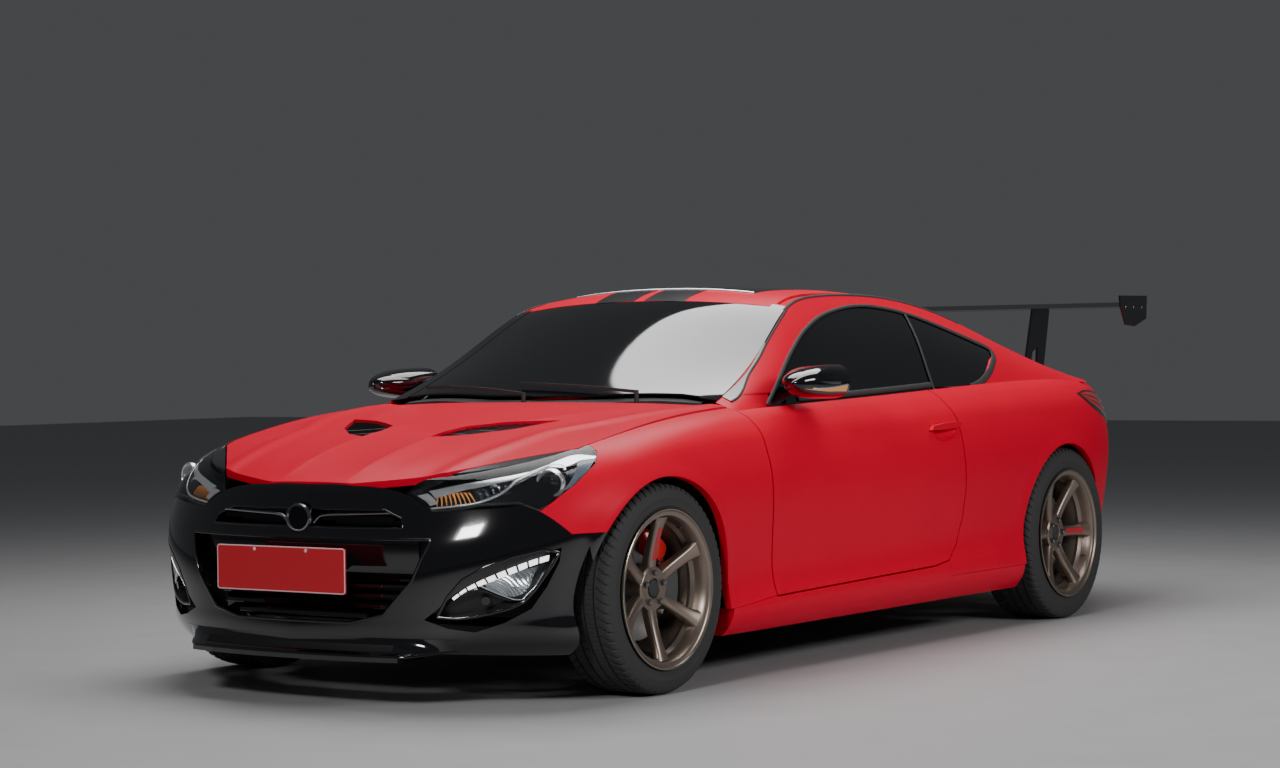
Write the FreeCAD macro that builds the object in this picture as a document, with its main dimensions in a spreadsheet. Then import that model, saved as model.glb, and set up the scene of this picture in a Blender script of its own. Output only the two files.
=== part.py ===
import FreeCAD, Part
import math
import os
import Sketcher

V = FreeCAD.Vector
doc = FreeCAD.newDocument("coupe")

# Driving dimensions, in millimetres

SIZES = [
    ("wheelbase", 2820, "axle to axle"),
    ("front_overhang", 790, "front axle to the plate's face"),
    ("rear_overhang", 990, "rear axle to the bumper skin"),
    ("wing_reach", 1050, "rear axle to the wing's trailing edge"),
    ("track_front", 1600, "between tyre centres"),
    ("track_rear", 1615, "between tyre centres"),
    ("half_width", 926, "widest point of the body side"),
    ("panel_gap", 5, "shut line between panels"),
    ("seam_gap", 1, "seam between fixed panels"),
    ("skin", 22, "folded edge of a body panel"),
    ("door_depth", 150, "whole door, skin to trim"),
    ("door_step", 18, "rebate behind the door skin"),
    ("hood_depth", 22, "hood skin and frame"),
    ("vent_sink", 12, "vent mesh below the hood's skin"),
    ("vent_sheet", 5, "vent mesh and its frame"),
    ("roof_depth", 32, "roof skin, bows and lining"),
    ("frame_depth", 44, "pillar section"),
    ("glass", 6, "glass thickness"),
    ("glass_step", 6, "side glass behind the frame's face"),
    ("lamp_depth", 46, "lamp, lens to housing"),
    ("ground_gap", 140, "underside of the floor"),
    ("floor_sheet", 30, "floor with its ribs"),
    ("tyre_front", 662, "225/40 R19 outer diameter"),
    ("tyre_rear", 678, "245/40 R19 outer diameter"),
    ("tread_front", 225, "section width"),
    ("tread_rear", 245, "section width"),
    ("rim_flange", 252, "radius of the rim's lip"),
    ("bead_seat", 241, "radius the tyre sits on"),
    ("rim_wall", 12, "rim barrel"),
    ("hub_radius", 72, "wheel's centre"),
    ("spoke_count", 6, "spokes in a rim"),
    ("spoke_width", 40, "across a spoke"),
    ("arch_front", 352, "wheel opening radius"),
    ("arch_rear", 356, "wheel opening radius"),
    ("arch_inner", 394, "wheel house radius"),
    ("disc_radius", 168, "brake disc"),
    ("disc_sheet", 28, "vented brake disc"),
    ("kingpin_inset", 62, "steering axis inboard of the tyre centre"),
    ("tail_lamp_reach", 366, "from the car's side to the lid"),
    ("handle_grip", 16, "door handle's bar"),
    ("handle_dish", 13, "hollow behind the door handle"),
    ("mirror_half_span", 998, "outside of the mirror caps"),
    ("mirror_half_width", 92, "half of a mirror cap"),
    ("mirror_half_height", 49, "half of a mirror cap"),
    ("wing_half_span", 800, "outside of the end plates"),
    ("wing_chord", 270, "blade, nose to tail"),
    ("wing_height", 1240, "underside of the blade"),
    ("wing_sheet", 6, "end plate"),
    ("stand_half_gap", 372, "wing stands from the centreline"),
    ("stand_sheet", 10, "wing stand"),
    ("engine_length", 620, "engine block"),
    ("engine_width", 560, "engine block"),
    ("engine_height", 420, "engine block"),
    ("seat_width", 500, "front seat"),
    ("seat_half_gap", 370, "front seat centre from the centreline"),
    ("steering_wheel_radius", 174, "centre of the rim's section"),
    ("steering_wheel_grip", 14, "rim's section radius"),
    ("pipe_radius", 30, "exhaust pipe"),
    ("tip_radius", 50, "exhaust tip"),
    ("badge_radius", 44, "plain disc between the bars of the nose"),
    ("plate_width", 520, "number plate"),
    ("plate_height", 136, "number plate"),
    ("plate_sheet", 8, "number plate and its holder"),
]

sheet = doc.addObject("Spreadsheet::Sheet", "Sizes")
for row, (alias, value, note) in enumerate(SIZES, 1):
    sheet.set("A%d" % row, alias)
    sheet.set("B%d" % row, str(value))
    sheet.set("C%d" % row, note)
    sheet.setAlias("B%d" % row, alias)
doc.recompute()
S = {alias: float(sheet.get(alias)) for alias, value, note in SIZES}


class Size:
    """A length that carries its value and the rule in the sheet behind it."""

    def __init__(self, value, rule):
        self.value = float(value)
        self.rule = rule

    def __add__(self, other):
        other = as_size(other)
        return Size(self.value + other.value, "(%s + %s)" % (self.rule, other.rule))

    def __sub__(self, other):
        other = as_size(other)
        return Size(self.value - other.value, "(%s - %s)" % (self.rule, other.rule))

    def __mul__(self, other):
        other = as_size(other)
        return Size(self.value * other.value, "(%s * %s)" % (self.rule, other.rule))

    def __neg__(self):
        return self * -1

    def __float__(self):
        return self.value


def as_size(x):
    return x if isinstance(x, Size) else Size(x, "(%.6g)" % x)


def size(alias):
    return Size(S[alias], "Sizes." + alias)


front_axle = (size("wheelbase") + size("wing_reach") - size("front_overhang")) * 0.5
rear_axle = front_axle - size("wheelbase")
tail = rear_axle - size("rear_overhang")
wing_tail = rear_axle - size("wing_reach")
front_hub = size("tyre_front") * 0.5
rear_hub = size("tyre_rear") * 0.5

GAP = S["panel_gap"]
SEAM = S["seam_gap"]
SKIN = S["skin"]
FRONT_AXLE, REAR_AXLE, TAIL = float(front_axle), float(rear_axle), float(tail)
FRONT_HUB, REAR_HUB = float(front_hub), float(rear_hub)
HALF = S["half_width"]
NOSE = S["front_overhang"] - 40
WIDE = HALF + 300


# Smooth curves through a few named stations

def smooth(stations, x):
    """Height of a shape-preserving cubic through the stations, which run up in x."""
    n = len(stations)
    if x <= stations[0][0]:
        return stations[0][1]
    if x >= stations[-1][0]:
        return stations[-1][1]
    k = 0
    while x > stations[k + 1][0]:
        k += 1
    slopes = [(stations[i + 1][1] - stations[i][1]) / (stations[i + 1][0] - stations[i][0])
              for i in range(n - 1)]

    def tangent(i):
        if i == 0:
            return slopes[0]
        if i == n - 1:
            return slopes[-1]
        if slopes[i - 1] * slopes[i] <= 0:
            return 0.0
        return 2 * slopes[i - 1] * slopes[i] / (slopes[i - 1] + slopes[i])

    span = stations[k + 1][0] - stations[k][0]
    u = (x - stations[k][0]) / span
    m0, m1 = tangent(k) * span, tangent(k + 1) * span
    return ((2 * u ** 3 - 3 * u ** 2 + 1) * stations[k][1] + (u ** 3 - 2 * u ** 2 + u) * m0
            + (3 * u ** 2 - 2 * u ** 3) * stations[k + 1][1] + (u ** 3 - u ** 2) * m1)


def column(table, i, j):
    return [(row[i], row[j]) for row in table]


def between(a, b, share):
    return a + (b - a) * share


def steps(first, last, count):
    return [first + (last - first) * i / (count - 1) for i in range(count)]


# Lower body: one section carried round nose, side and tail.
# level, inset from the widest point, nose behind its foremost point, tail ahead of its rearmost point

SECTION = [
    (0.00, 58, 10, 78),
    (0.08, -6, -4, 54),
    (0.19, 34, 2, 34),
    (0.35, 25, 2, 8),
    (0.52, 8, 8, 0),
    (0.64, 0, 22, 6),
    (0.75, 4, 48, 22),
    (0.86, 27, 70, 36),
    (0.93, 62, 82, 46),
    (0.98, 110, 90, 62),
    (1.00, 168, 100, 84),
]
LEVELS = [row[0] for row in SECTION]
# Roundness of the nose in plan, fuller at the lamps than at the chin
ROUND = [(0.0, 2.15), (0.25, 2.4), (0.45, 2.5), (1.0, 2.5)]
NOSE_CENTRE = FRONT_AXLE
TAIL_CENTRE = REAR_AXLE - 100
HOOD_LIP = FRONT_AXLE + NOSE - 100
UNDERSIDE = [(TAIL, 200), (TAIL + 300, 180), (REAR_AXLE, 150), (FRONT_AXLE + 200, 150), (HOOD_LIP, 172)]

# Height of the shoulder, where side and top meet, along the car
SHOULDER = [
    (TAIL, 905), (TAIL + 90, 935), (TAIL + 400, 955), (REAR_AXLE, 962),
    (between(REAR_AXLE, FRONT_AXLE, 0.18), 950), (between(REAR_AXLE, FRONT_AXLE, 0.34), 930),
    (between(REAR_AXLE, FRONT_AXLE, 0.56), 908), (FRONT_AXLE - 760, 894), (FRONT_AXLE - 500, 885),
    (FRONT_AXLE - 200, 858), (FRONT_AXLE + 150, 797), (FRONT_AXLE + 400, 739), (FRONT_AXLE + 560, 699),
    (HOOD_LIP, 674),
]


def side_point(turn, level, inset=0.0):
    """A point on the left lower body. turn is 0 at the nose, 1 at the front axle,
    2 at the rear wheel and 3 at the tail; level is 0 at the sill and 1 at the shoulder."""
    half = HALF - smooth(column(SECTION, 0, 1), level) - inset
    nose = NOSE - smooth(column(SECTION, 0, 2), level) - inset
    rear = TAIL_CENTRE - TAIL - smooth(column(SECTION, 0, 3), level) - inset
    power = 2 / smooth(ROUND, level)
    if turn < 1:
        angle = turn * math.pi / 2
        reach = math.cos(angle) ** power
        x = NOSE_CENTRE + nose * reach
        y = half * math.sin(angle) ** power if turn > 0 else 0.0
        along = NOSE_CENTRE + (HOOD_LIP - NOSE_CENTRE) * reach
    elif turn <= 2:
        x = NOSE_CENTRE + (TAIL_CENTRE - NOSE_CENTRE) * (turn - 1)
        y = half
        along = x
    else:
        angle = (3 - turn) * math.pi / 2
        reach = max(math.cos(angle), 0.0) ** power
        x = TAIL_CENTRE - rear * reach
        y = half * math.sin(angle) ** power if turn < 3 else 0.0
        along = TAIL_CENTRE - (TAIL_CENTRE - TAIL) * reach
    top = smooth(SHOULDER, along)
    foot = smooth(UNDERSIDE, along)
    z = foot + (top - foot) * level - inset * max(0.0, level - 0.9) * 10
    return V(x, y, z)


# Upper body: height fields between the left and right edges

def upper_edge(x):
    """Half width of the shoulder line at a station."""
    half = HALF - SECTION[-1][1]
    power = ROUND[-1][1]
    if x > NOSE_CENTRE:
        reach = min((x - NOSE_CENTRE) / (HOOD_LIP - NOSE_CENTRE), 1.0)
        return half * (1 - reach ** power) ** (1 / power)
    if x < TAIL_CENTRE:
        reach = min((TAIL_CENTRE - x) / (TAIL_CENTRE - TAIL - SECTION[-1][3]), 1.0)
        return half * (1 - reach ** power) ** (1 / power)
    return half


HOOD_CENTRE = [
    (FRONT_AXLE - 700, 913), (FRONT_AXLE - 480, 905), (FRONT_AXLE - 200, 876), (FRONT_AXLE + 100, 828),
    (FRONT_AXLE + 400, 766), (FRONT_AXLE + 560, 716), (HOOD_LIP, 676),
]
DECK_CENTRE = [(TAIL + 84, 960), (TAIL + 160, 966), (TAIL + 400, 972), (TAIL + 700, 984)]
GLASS_BASE = FRONT_AXLE - 520
GLASS_TOP = FRONT_AXLE - 1240
BACK_TOP = REAR_AXLE + 470
BACK_BASE = TAIL + 540
ROOF_CENTRE = [
    (BACK_BASE - 60, 962), (BACK_BASE, 986), (between(BACK_BASE, BACK_TOP, 0.62), 1150), (BACK_TOP, 1254),
    (between(BACK_TOP, GLASS_TOP, 0.28), 1309), (between(BACK_TOP, GLASS_TOP, 0.56), 1324),
    (between(BACK_TOP, GLASS_TOP, 0.86), 1316), (GLASS_TOP, 1288), (between(GLASS_TOP, GLASS_BASE, 0.5), 1110),
    (GLASS_BASE, 905), (GLASS_BASE + 60, 872),
]
# Gutter line: where the roof and the glass meet the side frame
GUTTER_WIDTH = [
    (BACK_BASE - 60, 700), (BACK_BASE + 100, 668), (BACK_TOP - 250, 618), (BACK_TOP + 50, 584),
    (between(BACK_TOP, GLASS_TOP, 0.5), 568), (GLASS_TOP - 150, 572), (GLASS_TOP, 592),
    (between(GLASS_TOP, GLASS_BASE, 0.3), 636), (between(GLASS_TOP, GLASS_BASE, 0.6), 678),
    (GLASS_BASE + 60, 724),
]
GUTTER_HEIGHT = [
    (BACK_BASE - 60, 950), (BACK_BASE + 100, 996), (BACK_TOP - 250, 1138), (BACK_TOP + 50, 1238),
    (between(BACK_TOP, GLASS_TOP, 0.5), 1282), (GLASS_TOP - 150, 1272), (GLASS_TOP, 1232),
    (between(GLASS_TOP, GLASS_BASE, 0.3), 1112), (between(GLASS_TOP, GLASS_BASE, 0.6), 982),
    (GLASS_BASE + 60, 862),
]


def hood_point(x, across, inset=0.0):
    """across is 0 on the centreline and 1 at the shoulder."""
    low = smooth(SHOULDER, x)
    high = smooth(HOOD_CENTRE, x)
    z = low + (high - low) * (1 - abs(across) ** 2.4)
    return V(x, across * upper_edge(x), z - inset)


def deck_point(x, across, inset=0.0):
    low = smooth(SHOULDER, x)
    high = smooth(DECK_CENTRE, x)
    z = low + (high - low) * (1 - abs(across) ** 2.6)
    return V(x, across * upper_edge(x), z - inset)


def roof_point(x, across, inset=0.0):
    """The windshield, roof and rear glass as one crowned field between the gutters."""
    low = smooth(GUTTER_HEIGHT, x)
    high = smooth(ROOF_CENTRE, x)
    z = low + (high - low) * (1 - abs(across) ** 2.3)
    return V(x, across * smooth(GUTTER_WIDTH, x), z - inset)


def cabin_side_point(x, rise, inset=0.0):
    """Side glass and frame, from the shoulder at rise 0 to the gutter at rise 1."""
    low_y = HALF - 138
    low_z = smooth(SHOULDER, x) - 24
    high_y = smooth(GUTTER_WIDTH, x)
    high_z = smooth(GUTTER_HEIGHT, x)
    y = low_y + (high_y - low_y) * (0.55 * rise + 0.45 * rise ** 2.6)
    return V(x, y - inset, low_z + (high_z - low_z) * rise)


# Solids from surfaces

def surface(point, us, vs):
    """A smooth sheet drawn by its net of control points, even along both directions."""
    net = [[point(u, v) for v in vs] for u in us]
    knots_u, counts_u = even_knots(len(us))
    knots_v, counts_v = even_knots(len(vs))
    result = Part.BSplineSurface()
    result.buildFromPolesMultsKnots(net, counts_u, counts_v, knots_u, knots_v, False, False, 3, 3)
    return result


def even_knots(count):
    inner = count - 3
    return [float(k) for k in range(inner + 1)], [4] + [1] * (inner - 1) + [4]


def shell_solid(outer, inner):
    """A closed solid between two surfaces that share their parameters."""
    u0, u1, v0, v1 = outer.bounds()
    faces = [outer.toShape(), inner.toShape()]
    for a, b in ((outer.uIso(u0), inner.uIso(u0)), (outer.uIso(u1), inner.uIso(u1)),
                 (outer.vIso(v0), inner.vIso(v0)), (outer.vIso(v1), inner.vIso(v1))):
        faces.append(Part.makeRuledSurface(a.toShape(), b.toShape()))
    shell = Part.Compound(faces)
    shell.sewShape()
    solid = Part.Solid(shell if shell.ShapeType == "Shell" else shell.Shells[0])
    if solid.Volume < 0:
        solid.reverse()
    return solid


def slab(point, us, vs, depth, start=0.0):
    """A panel from the start depth to the full depth under a surface."""
    outer = surface(lambda u, v: point(u, v, start), us, vs)
    inner = surface(lambda u, v: point(u, v, depth), us, vs)
    return shell_solid(outer, inner)


def place(p, plane):
    if plane == "xz":
        return V(p[0], 0, p[1])
    if plane == "xy":
        return V(p[0], p[1], 0)
    if plane == "corner":
        return V(FRONT_AXLE - CORNER_SIN * p[0], CORNER_COS * p[0], p[1])
    return V(0, p[0], p[1])


# The lamps and the fog pods are drawn looking at the car's front corner
CORNER_SIN = math.sin(math.radians(40))
CORNER_COS = math.cos(math.radians(40))
ALONG = {"xz": V(0, 1, 0), "xy": V(0, 0, 1), "yz": V(1, 0, 0), "corner": V(CORNER_COS, CORNER_SIN, 0)}


def outline(points, plane="xz"):
    wire = Part.makePolygon([place(p, plane) for p in points] + [place(points[0], plane)])
    return Part.Face(wire)


def prism(points, low, high, plane="xz"):
    face = outline(points, plane)
    face.translate(ALONG[plane] * low)
    return face.extrude(ALONG[plane] * (high - low))


def grown(points, grow):
    """The outline moved outwards all round by grow; inwards where grow is negative."""
    area = sum(a[0] * b[1] - b[0] * a[1] for a, b in zip(points, points[1:] + points[:1]))
    turn = 1 if area > 0 else -1
    moved = []
    for k, p in enumerate(points):
        a, b = points[k - 1], points[(k + 1) % len(points)]
        n1, n2 = normal(a, p, turn), normal(p, b, turn)
        share = grow / max(1 + n1[0] * n2[0] + n1[1] * n2[1], 0.35)
        moved.append((p[0] + (n1[0] + n2[0]) * share, p[1] + (n1[1] + n2[1]) * share))
    return moved


def normal(a, b, turn):
    dx, dy = b[0] - a[0], b[1] - a[1]
    run = math.hypot(dx, dy)
    return (turn * dy / run, -turn * dx / run)


def box(x0, x1, y0, y1, z0, z1):
    return Part.makeBox(x1 - x0, y1 - y0, z1 - z0, V(x0, y0, z0))


def rod(radius, start, end):
    start, end = V(*start), V(*end)
    return Part.makeCylinder(radius, (end - start).Length, start, end - start)


def ellipsoid(centre, radii):
    shape = Part.makeSphere(1)
    stretch = FreeCAD.Matrix()
    stretch.scale(*radii)
    shape = shape.transformGeometry(stretch)
    shape.translate(V(*centre))
    return shape


def mirrored(shape):
    return shape.mirror(V(0, 0, 0), V(0, 1, 0))


def both(shape):
    return Part.Compound([shape, mirrored(shape)])


def joined(shapes):
    return shapes[0].multiFuse(shapes[1:]).removeSplitter()


def biggest(shape):
    """Drops the crumbs that a cut leaves, and keeps the panel."""
    return max(shape.Solids, key=lambda s: s.Volume)


nodes = []


def node(name, shape):
    piece = doc.addObject("Part::Feature", name)
    piece.Label = name
    piece.Shape = shape
    nodes.append(piece)
    return piece


def pair(name, shape):
    """A left piece and its mirror image on the right."""
    node(name + "_left", shape)
    node(name + "_right", mirrored(shape))


# Pieces drawn with bound sketches and primitives

PLANES = {"xy": "XY_Plane", "xz": "XZ_Plane", "yz": "YZ_Plane"}


def bind(item, **rules):
    for name, value in rules.items():
        item.setExpression(name.replace("_to_", "."), as_size(value).rule)
    return item


def put(item, x=0, y=0, z=0):
    for letter, value in (("x", x), ("y", y), ("z", z)):
        item.setExpression("Placement.Base." + letter, as_size(value).rule)
    return item


def block(name, x, y, z, length, width, height):
    item = bind(doc.addObject("Part::Box", name), Length=length, Width=width, Height=height)
    return put(item, x, y, z)


def drum(name, axis, x, y, z, radius, height):
    item = bind(doc.addObject("Part::Cylinder", name), Radius=radius, Height=height)
    turn = {"z": (V(0, 0, 1), 0), "y": (V(1, 0, 0), -90), "x": (V(0, 1, 0), 90)}[axis]
    item.Placement = FreeCAD.Placement(V(0, 0, 0), FreeCAD.Rotation(*turn))
    return put(item, x, y, z)


def fused(name, parts):
    item = doc.addObject("Part::MultiFuse", name)
    item.Shapes = parts
    return item


def cut(name, base, tool):
    item = doc.addObject("Part::Cut", name)
    item.Base, item.Tool = base, tool
    return item


def reflected(name, source):
    item = doc.addObject("Part::Mirroring", name)
    item.Source = source
    item.Normal = V(0, 1, 0)
    return item


def keep(item, label):
    """Names a finished sub-part and hands it over."""
    item.Label = label
    nodes.append(item)
    return item


def new_body(name):
    body = doc.addObject("PartDesign::Body", name)
    body.AllowCompound = True
    return body


def sketched(body, name, plane, corners, offset=0):
    """A closed outline whose corners follow their rules."""
    sketch = body.newObject("Sketcher::SketchObject", name)
    origin = [f for f in body.Origin.OriginFeatures if f.Role == PLANES[plane]][0]
    sketch.AttachmentSupport = [(origin, "")]
    sketch.MapMode = "FlatFace"
    sketch.setExpression("AttachmentOffset.Base.z", as_size(offset).rule)
    corners = [(as_size(a), as_size(b)) for a, b in corners]
    n = len(corners)
    for k in range(n):
        a, b = corners[k], corners[(k + 1) % n]
        sketch.addGeometry(Part.LineSegment(V(float(a[0]), float(a[1]), 0),
                                            V(float(b[0]), float(b[1]), 0)), False)
    for k in range(n):
        sketch.addConstraint(Sketcher.Constraint("Coincident", k, 2, (k + 1) % n, 1))
    for k, (a, b) in enumerate(corners):
        for kind, value in (("DistanceX", a), ("DistanceY", b)):
            index = sketch.addConstraint(Sketcher.Constraint(kind, -1, 1, k, 1, float(value)))
            sketch.setExpression("Constraints[%d]" % index, value.rule)
    return sketch


def pad(body, name, plane, corners, length, offset=0):
    """A profile extruded from the offset plane along its normal."""
    item = body.newObject("PartDesign::Pad", name + "_pad")
    item.Profile = sketched(body, name + "_profile", plane, corners, offset)
    bind(item, Length=length)
    return item


def turned(body, name, corners):
    """A profile of (radius, y) corners turned about the Y axis."""
    item = body.newObject("PartDesign::Revolution", name + "_turn")
    item.Profile = sketched(body, name + "_profile", "xy", corners)
    item.ReferenceAxis = (item.Profile[0], ["V_Axis"])
    item.Angle = 360
    return item


# Shut lines, seen from the side

DOOR_FRONT = FRONT_AXLE - 590
DOOR_FOOT = FRONT_AXLE - 640
DOOR_REAR = REAR_AXLE + 853
DOOR_BOTTOM = 262
BELT_HALF = HALF - 134
DOOR = [
    (DOOR_FRONT, 960), (DOOR_FRONT, 742), (DOOR_FOOT, DOOR_BOTTOM), (DOOR_REAR + 230, DOOR_BOTTOM + 22),
    (DOOR_REAR + 120, DOOR_BOTTOM + 36), (DOOR_REAR + 48, DOOR_BOTTOM + 90), (DOOR_REAR + 8, DOOR_BOTTOM + 190),
    (DOOR_REAR, 560), (DOOR_REAR + 24, 700), (DOOR_REAR + 36, 806), (DOOR_REAR + 62, 880), (DOOR_REAR + 62, 960),
]

SIDE_TURNS = [0.0, 0.1, 0.2, 0.3, 0.4, 0.5, 0.6, 0.7, 0.8, 0.9, 1.0, 1.12, 1.28, 1.5, 1.72, 1.88, 2.0,
              2.12, 2.24, 2.36, 2.48, 2.6, 2.72, 2.86, 3.0]
side_solid = slab(side_point, SIDE_TURNS, LEVELS, SKIN)
front_arch = rod(S["arch_front"], (FRONT_AXLE, -WIDE, FRONT_HUB), (FRONT_AXLE, WIDE, FRONT_HUB))
rear_arch = rod(S["arch_rear"], (REAR_AXLE, -WIDE, REAR_HUB), (REAR_AXLE, WIDE, REAR_HUB))
front_house = rod(S["arch_inner"] - 12, (FRONT_AXLE, 0, FRONT_HUB), (FRONT_AXLE, HALF - 70, FRONT_HUB))
arch_foot = []
for axle, hub, radius in ((FRONT_AXLE, FRONT_HUB, S["arch_front"]), (REAR_AXLE, REAR_HUB, S["arch_rear"])):
    arch_foot.append(box(axle - radius, axle + radius, -WIDE, WIDE, 0, hub))
side_skin = side_solid.cut(front_arch.fuse(arch_foot[0]).fuse(front_house)).cut(rear_arch.fuse(arch_foot[1]))

# Hood in plan: cowl corner, fender line, lamp's upper edge and lip

hood_left = [
    (FRONT_AXLE - 582, upper_edge(FRONT_AXLE) - 6), (FRONT_AXLE, upper_edge(FRONT_AXLE) - 6),
    (FRONT_AXLE + 120, upper_edge(FRONT_AXLE + 120) - 6), (FRONT_AXLE + 238, 733), (FRONT_AXLE + 323, 653),
    (FRONT_AXLE + 424, 560), (FRONT_AXLE + 528, 462), (FRONT_AXLE + 585, 410), (HOOD_LIP - 24, 372),
    (HOOD_LIP - 10, 180),
]
HOOD = hood_left + [(x, -y) for x, y in reversed(hood_left)] + [
    (GLASS_BASE - 34, -480), (GLASS_BASE + 8, -240), (GLASS_BASE + 20, 0), (GLASS_BASE + 8, 240),
    (GLASS_BASE - 34, 480),
]
hood_skin = slab(hood_point, steps(FRONT_AXLE - 600, HOOD_LIP - 4, 11), steps(-1, 1, 9), S["hood_depth"])
VENT = [
    (FRONT_AXLE + 225, 142), (FRONT_AXLE + 167, 250), (FRONT_AXLE + 70, 355), (FRONT_AXLE - 85, 440),
    (FRONT_AXLE - 45, 345), (FRONT_AXLE + 10, 225), (FRONT_AXLE + 52, 155), (FRONT_AXLE + 135, 135),
]
vent_space = prism(VENT, 500, 1200, "xy")
hood = biggest(hood_skin.common(prism(HOOD, 500, 1200, "xy")).cut(vent_space).cut(mirrored(vent_space)))
vent_sheet = slab(hood_point, steps(FRONT_AXLE - 200, FRONT_AXLE + 300, 5), steps(0, 0.8, 5),
                  S["vent_sink"] + S["vent_sheet"], S["vent_sink"])
vent_net = biggest(vent_sheet.common(prism(grown(VENT, -0.3), 500, 1200, "xy")))
hood_space = prism(grown(HOOD, GAP), 500, 1200, "xy")
node("hood", hood)
node("hood_vents", both(vent_net))

# Front corner: lamp, fog pod and the seam between fender and bumper, drawn from the corner

LAMP = [
    (-118, 645), (-35, 593), (52, 601), (150, 606), (244, 615), (283, 597), (390, 672), (459, 732), (470, 768),
    (440, 792), (408, 790), (292, 790), (-60, 790), (-118, 700),
]
POD = [
    (345, 486), (338, 443), (300, 370), (252, 303), (170, 262), (80, 235), (0, 246), (-72, 272), (-37, 300),
    (21, 352), (130, 415), (240, 462),
]
lamp_space = prism(LAMP, 200, 1400, "corner")
lamp_cut = prism(grown(LAMP, -SEAM), 200, 1400, "corner")
lamp_side = biggest(side_skin.common(lamp_cut).cut(hood_space))
lamp_top = biggest(hood_skin.common(lamp_cut).cut(hood_space).common(box(FRONT_AXLE, HOOD_LIP, 0, WIDE, 0, 900)))
headlamp = biggest(joined([lamp_side, lamp_top]))
pod_space = prism(POD, 200, 1400, "corner")
pod_solid = slab(side_point, steps(0.05, 0.98, 9), LEVELS[1:8], SKIN + 14, 12)
fog = biggest(pod_solid.common(prism(grown(POD, -SEAM), 200, 1400, "corner")))

# Everything ahead of this line in side view belongs to the bumper
BUMPER_SEAM = [
    (FRONT_AXLE, 100), (FRONT_AXLE, 526), (FRONT_AXLE + 280, 526), (FRONT_AXLE + 402, 524),
    (FRONT_AXLE + 470, 597), (FRONT_AXLE + 560, 660), (FRONT_AXLE + 560, 900), (FRONT_AXLE + 1000, 900),
    (FRONT_AXLE + 1000, 100),
]
fender_area = [
    (DOOR_FRONT + GAP, 1000), (DOOR_FRONT + GAP, 742), (DOOR_FOOT + GAP, 262), (DOOR_FOOT + 260, 240),
    (FRONT_AXLE - 200, 240), (FRONT_AXLE + 280, 526 + SEAM), (FRONT_AXLE + 402, 524 + SEAM),
    (FRONT_AXLE + 470, 597 + SEAM), (FRONT_AXLE + 470, 1000),
]
fender = biggest(side_skin.common(prism(fender_area, 0, WIDE)).cut(lamp_space).cut(hood_space))
pair("fender", fender)

MOUTH = [
    (-488, 514), (-440, 388), (-345, 284), (-228, 258), (228, 258), (345, 284), (440, 388), (488, 514),
]
SLOT = [(-378, 574), (-388, 548), (388, 548), (378, 574), (310, 600), (-310, 600)]
mouth_space = prism(MOUTH, FRONT_AXLE + 400, FRONT_AXLE + 900, "yz")
BADGE_HEIGHT = 572
slot_space = prism(SLOT, FRONT_AXLE + 400, FRONT_AXLE + 900, "yz").fuse(
    rod(S["badge_radius"] + 2, (FRONT_AXLE + 400, 0, BADGE_HEIGHT), (FRONT_AXLE + 900, 0, BADGE_HEIGHT)))
bumper_half = side_skin.common(prism(BUMPER_SEAM, 0, WIDE)).cut(lamp_space).cut(pod_space).cut(hood_space)
bumper_half = biggest(bumper_half.cut(mouth_space).cut(slot_space))
front_bumper = joined([bumper_half, mirrored(bumper_half)])
node("front_bumper", biggest(front_bumper))
pair("headlamp", headlamp)
node("fog_lamps", both(fog))

# Doors: outer skin with a deeper inner box set back from the shut line

door_belt = box(DOOR_REAR - 200, DOOR_FRONT + 200, BELT_HALF, WIDE, 0, 960)
door_skin = biggest(side_solid.common(prism(DOOR, 0, WIDE)).common(door_belt))
door_core = slab(side_point, [1.1, 1.2, 1.35, 1.5, 1.65, 1.8], LEVELS, S["door_depth"] + 40, SKIN / 2)
DOOR_TOP = 872
DOOR_INSIDE = HALF - S["door_depth"]
door_box = box(DOOR_REAR - 200, DOOR_FRONT + 200, DOOR_INSIDE, WIDE, 0, DOOR_TOP)
door_inner = biggest(door_core.common(prism(grown(DOOR, -S["door_step"]), 0, WIDE)).common(door_box))
HANDLE_HEIGHT = 790
handle_side = side_point(1.64, 0.84).y
HANDLE = [
    (FRONT_AXLE - 1700, HANDLE_HEIGHT - 11), (FRONT_AXLE - 1712, HANDLE_HEIGHT + 4), (FRONT_AXLE - 1800, HANDLE_HEIGHT + 13),
    (FRONT_AXLE - 1900, HANDLE_HEIGHT + 16), (FRONT_AXLE - 1928, HANDLE_HEIGHT + 10), (FRONT_AXLE - 1930, HANDLE_HEIGHT),
    (FRONT_AXLE - 1900, HANDLE_HEIGHT - 7), (FRONT_AXLE - 1800, HANDLE_HEIGHT - 12),
]
dish = ellipsoid((FRONT_AXLE - 1812, handle_side + 50 - S["handle_dish"], HANDLE_HEIGHT - 14), (110, 50, 46))
bar = prism(HANDLE, handle_side + 4, handle_side + 4 + S["handle_grip"])
feet = [box(x - 18, x + 18, handle_side - 12, handle_side + 6, HANDLE_HEIGHT - 8, HANDLE_HEIGHT + 8)
        for x in (FRONT_AXLE - 1730, FRONT_AXLE - 1904)]
pair("door", joined([joined([door_skin, door_inner]).cut(dish), bar] + feet))
door_space = prism(grown(DOOR, GAP), 0, WIDE)

# Rear quarter: from the door's rear edge over the wheel to the bumper seam

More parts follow.
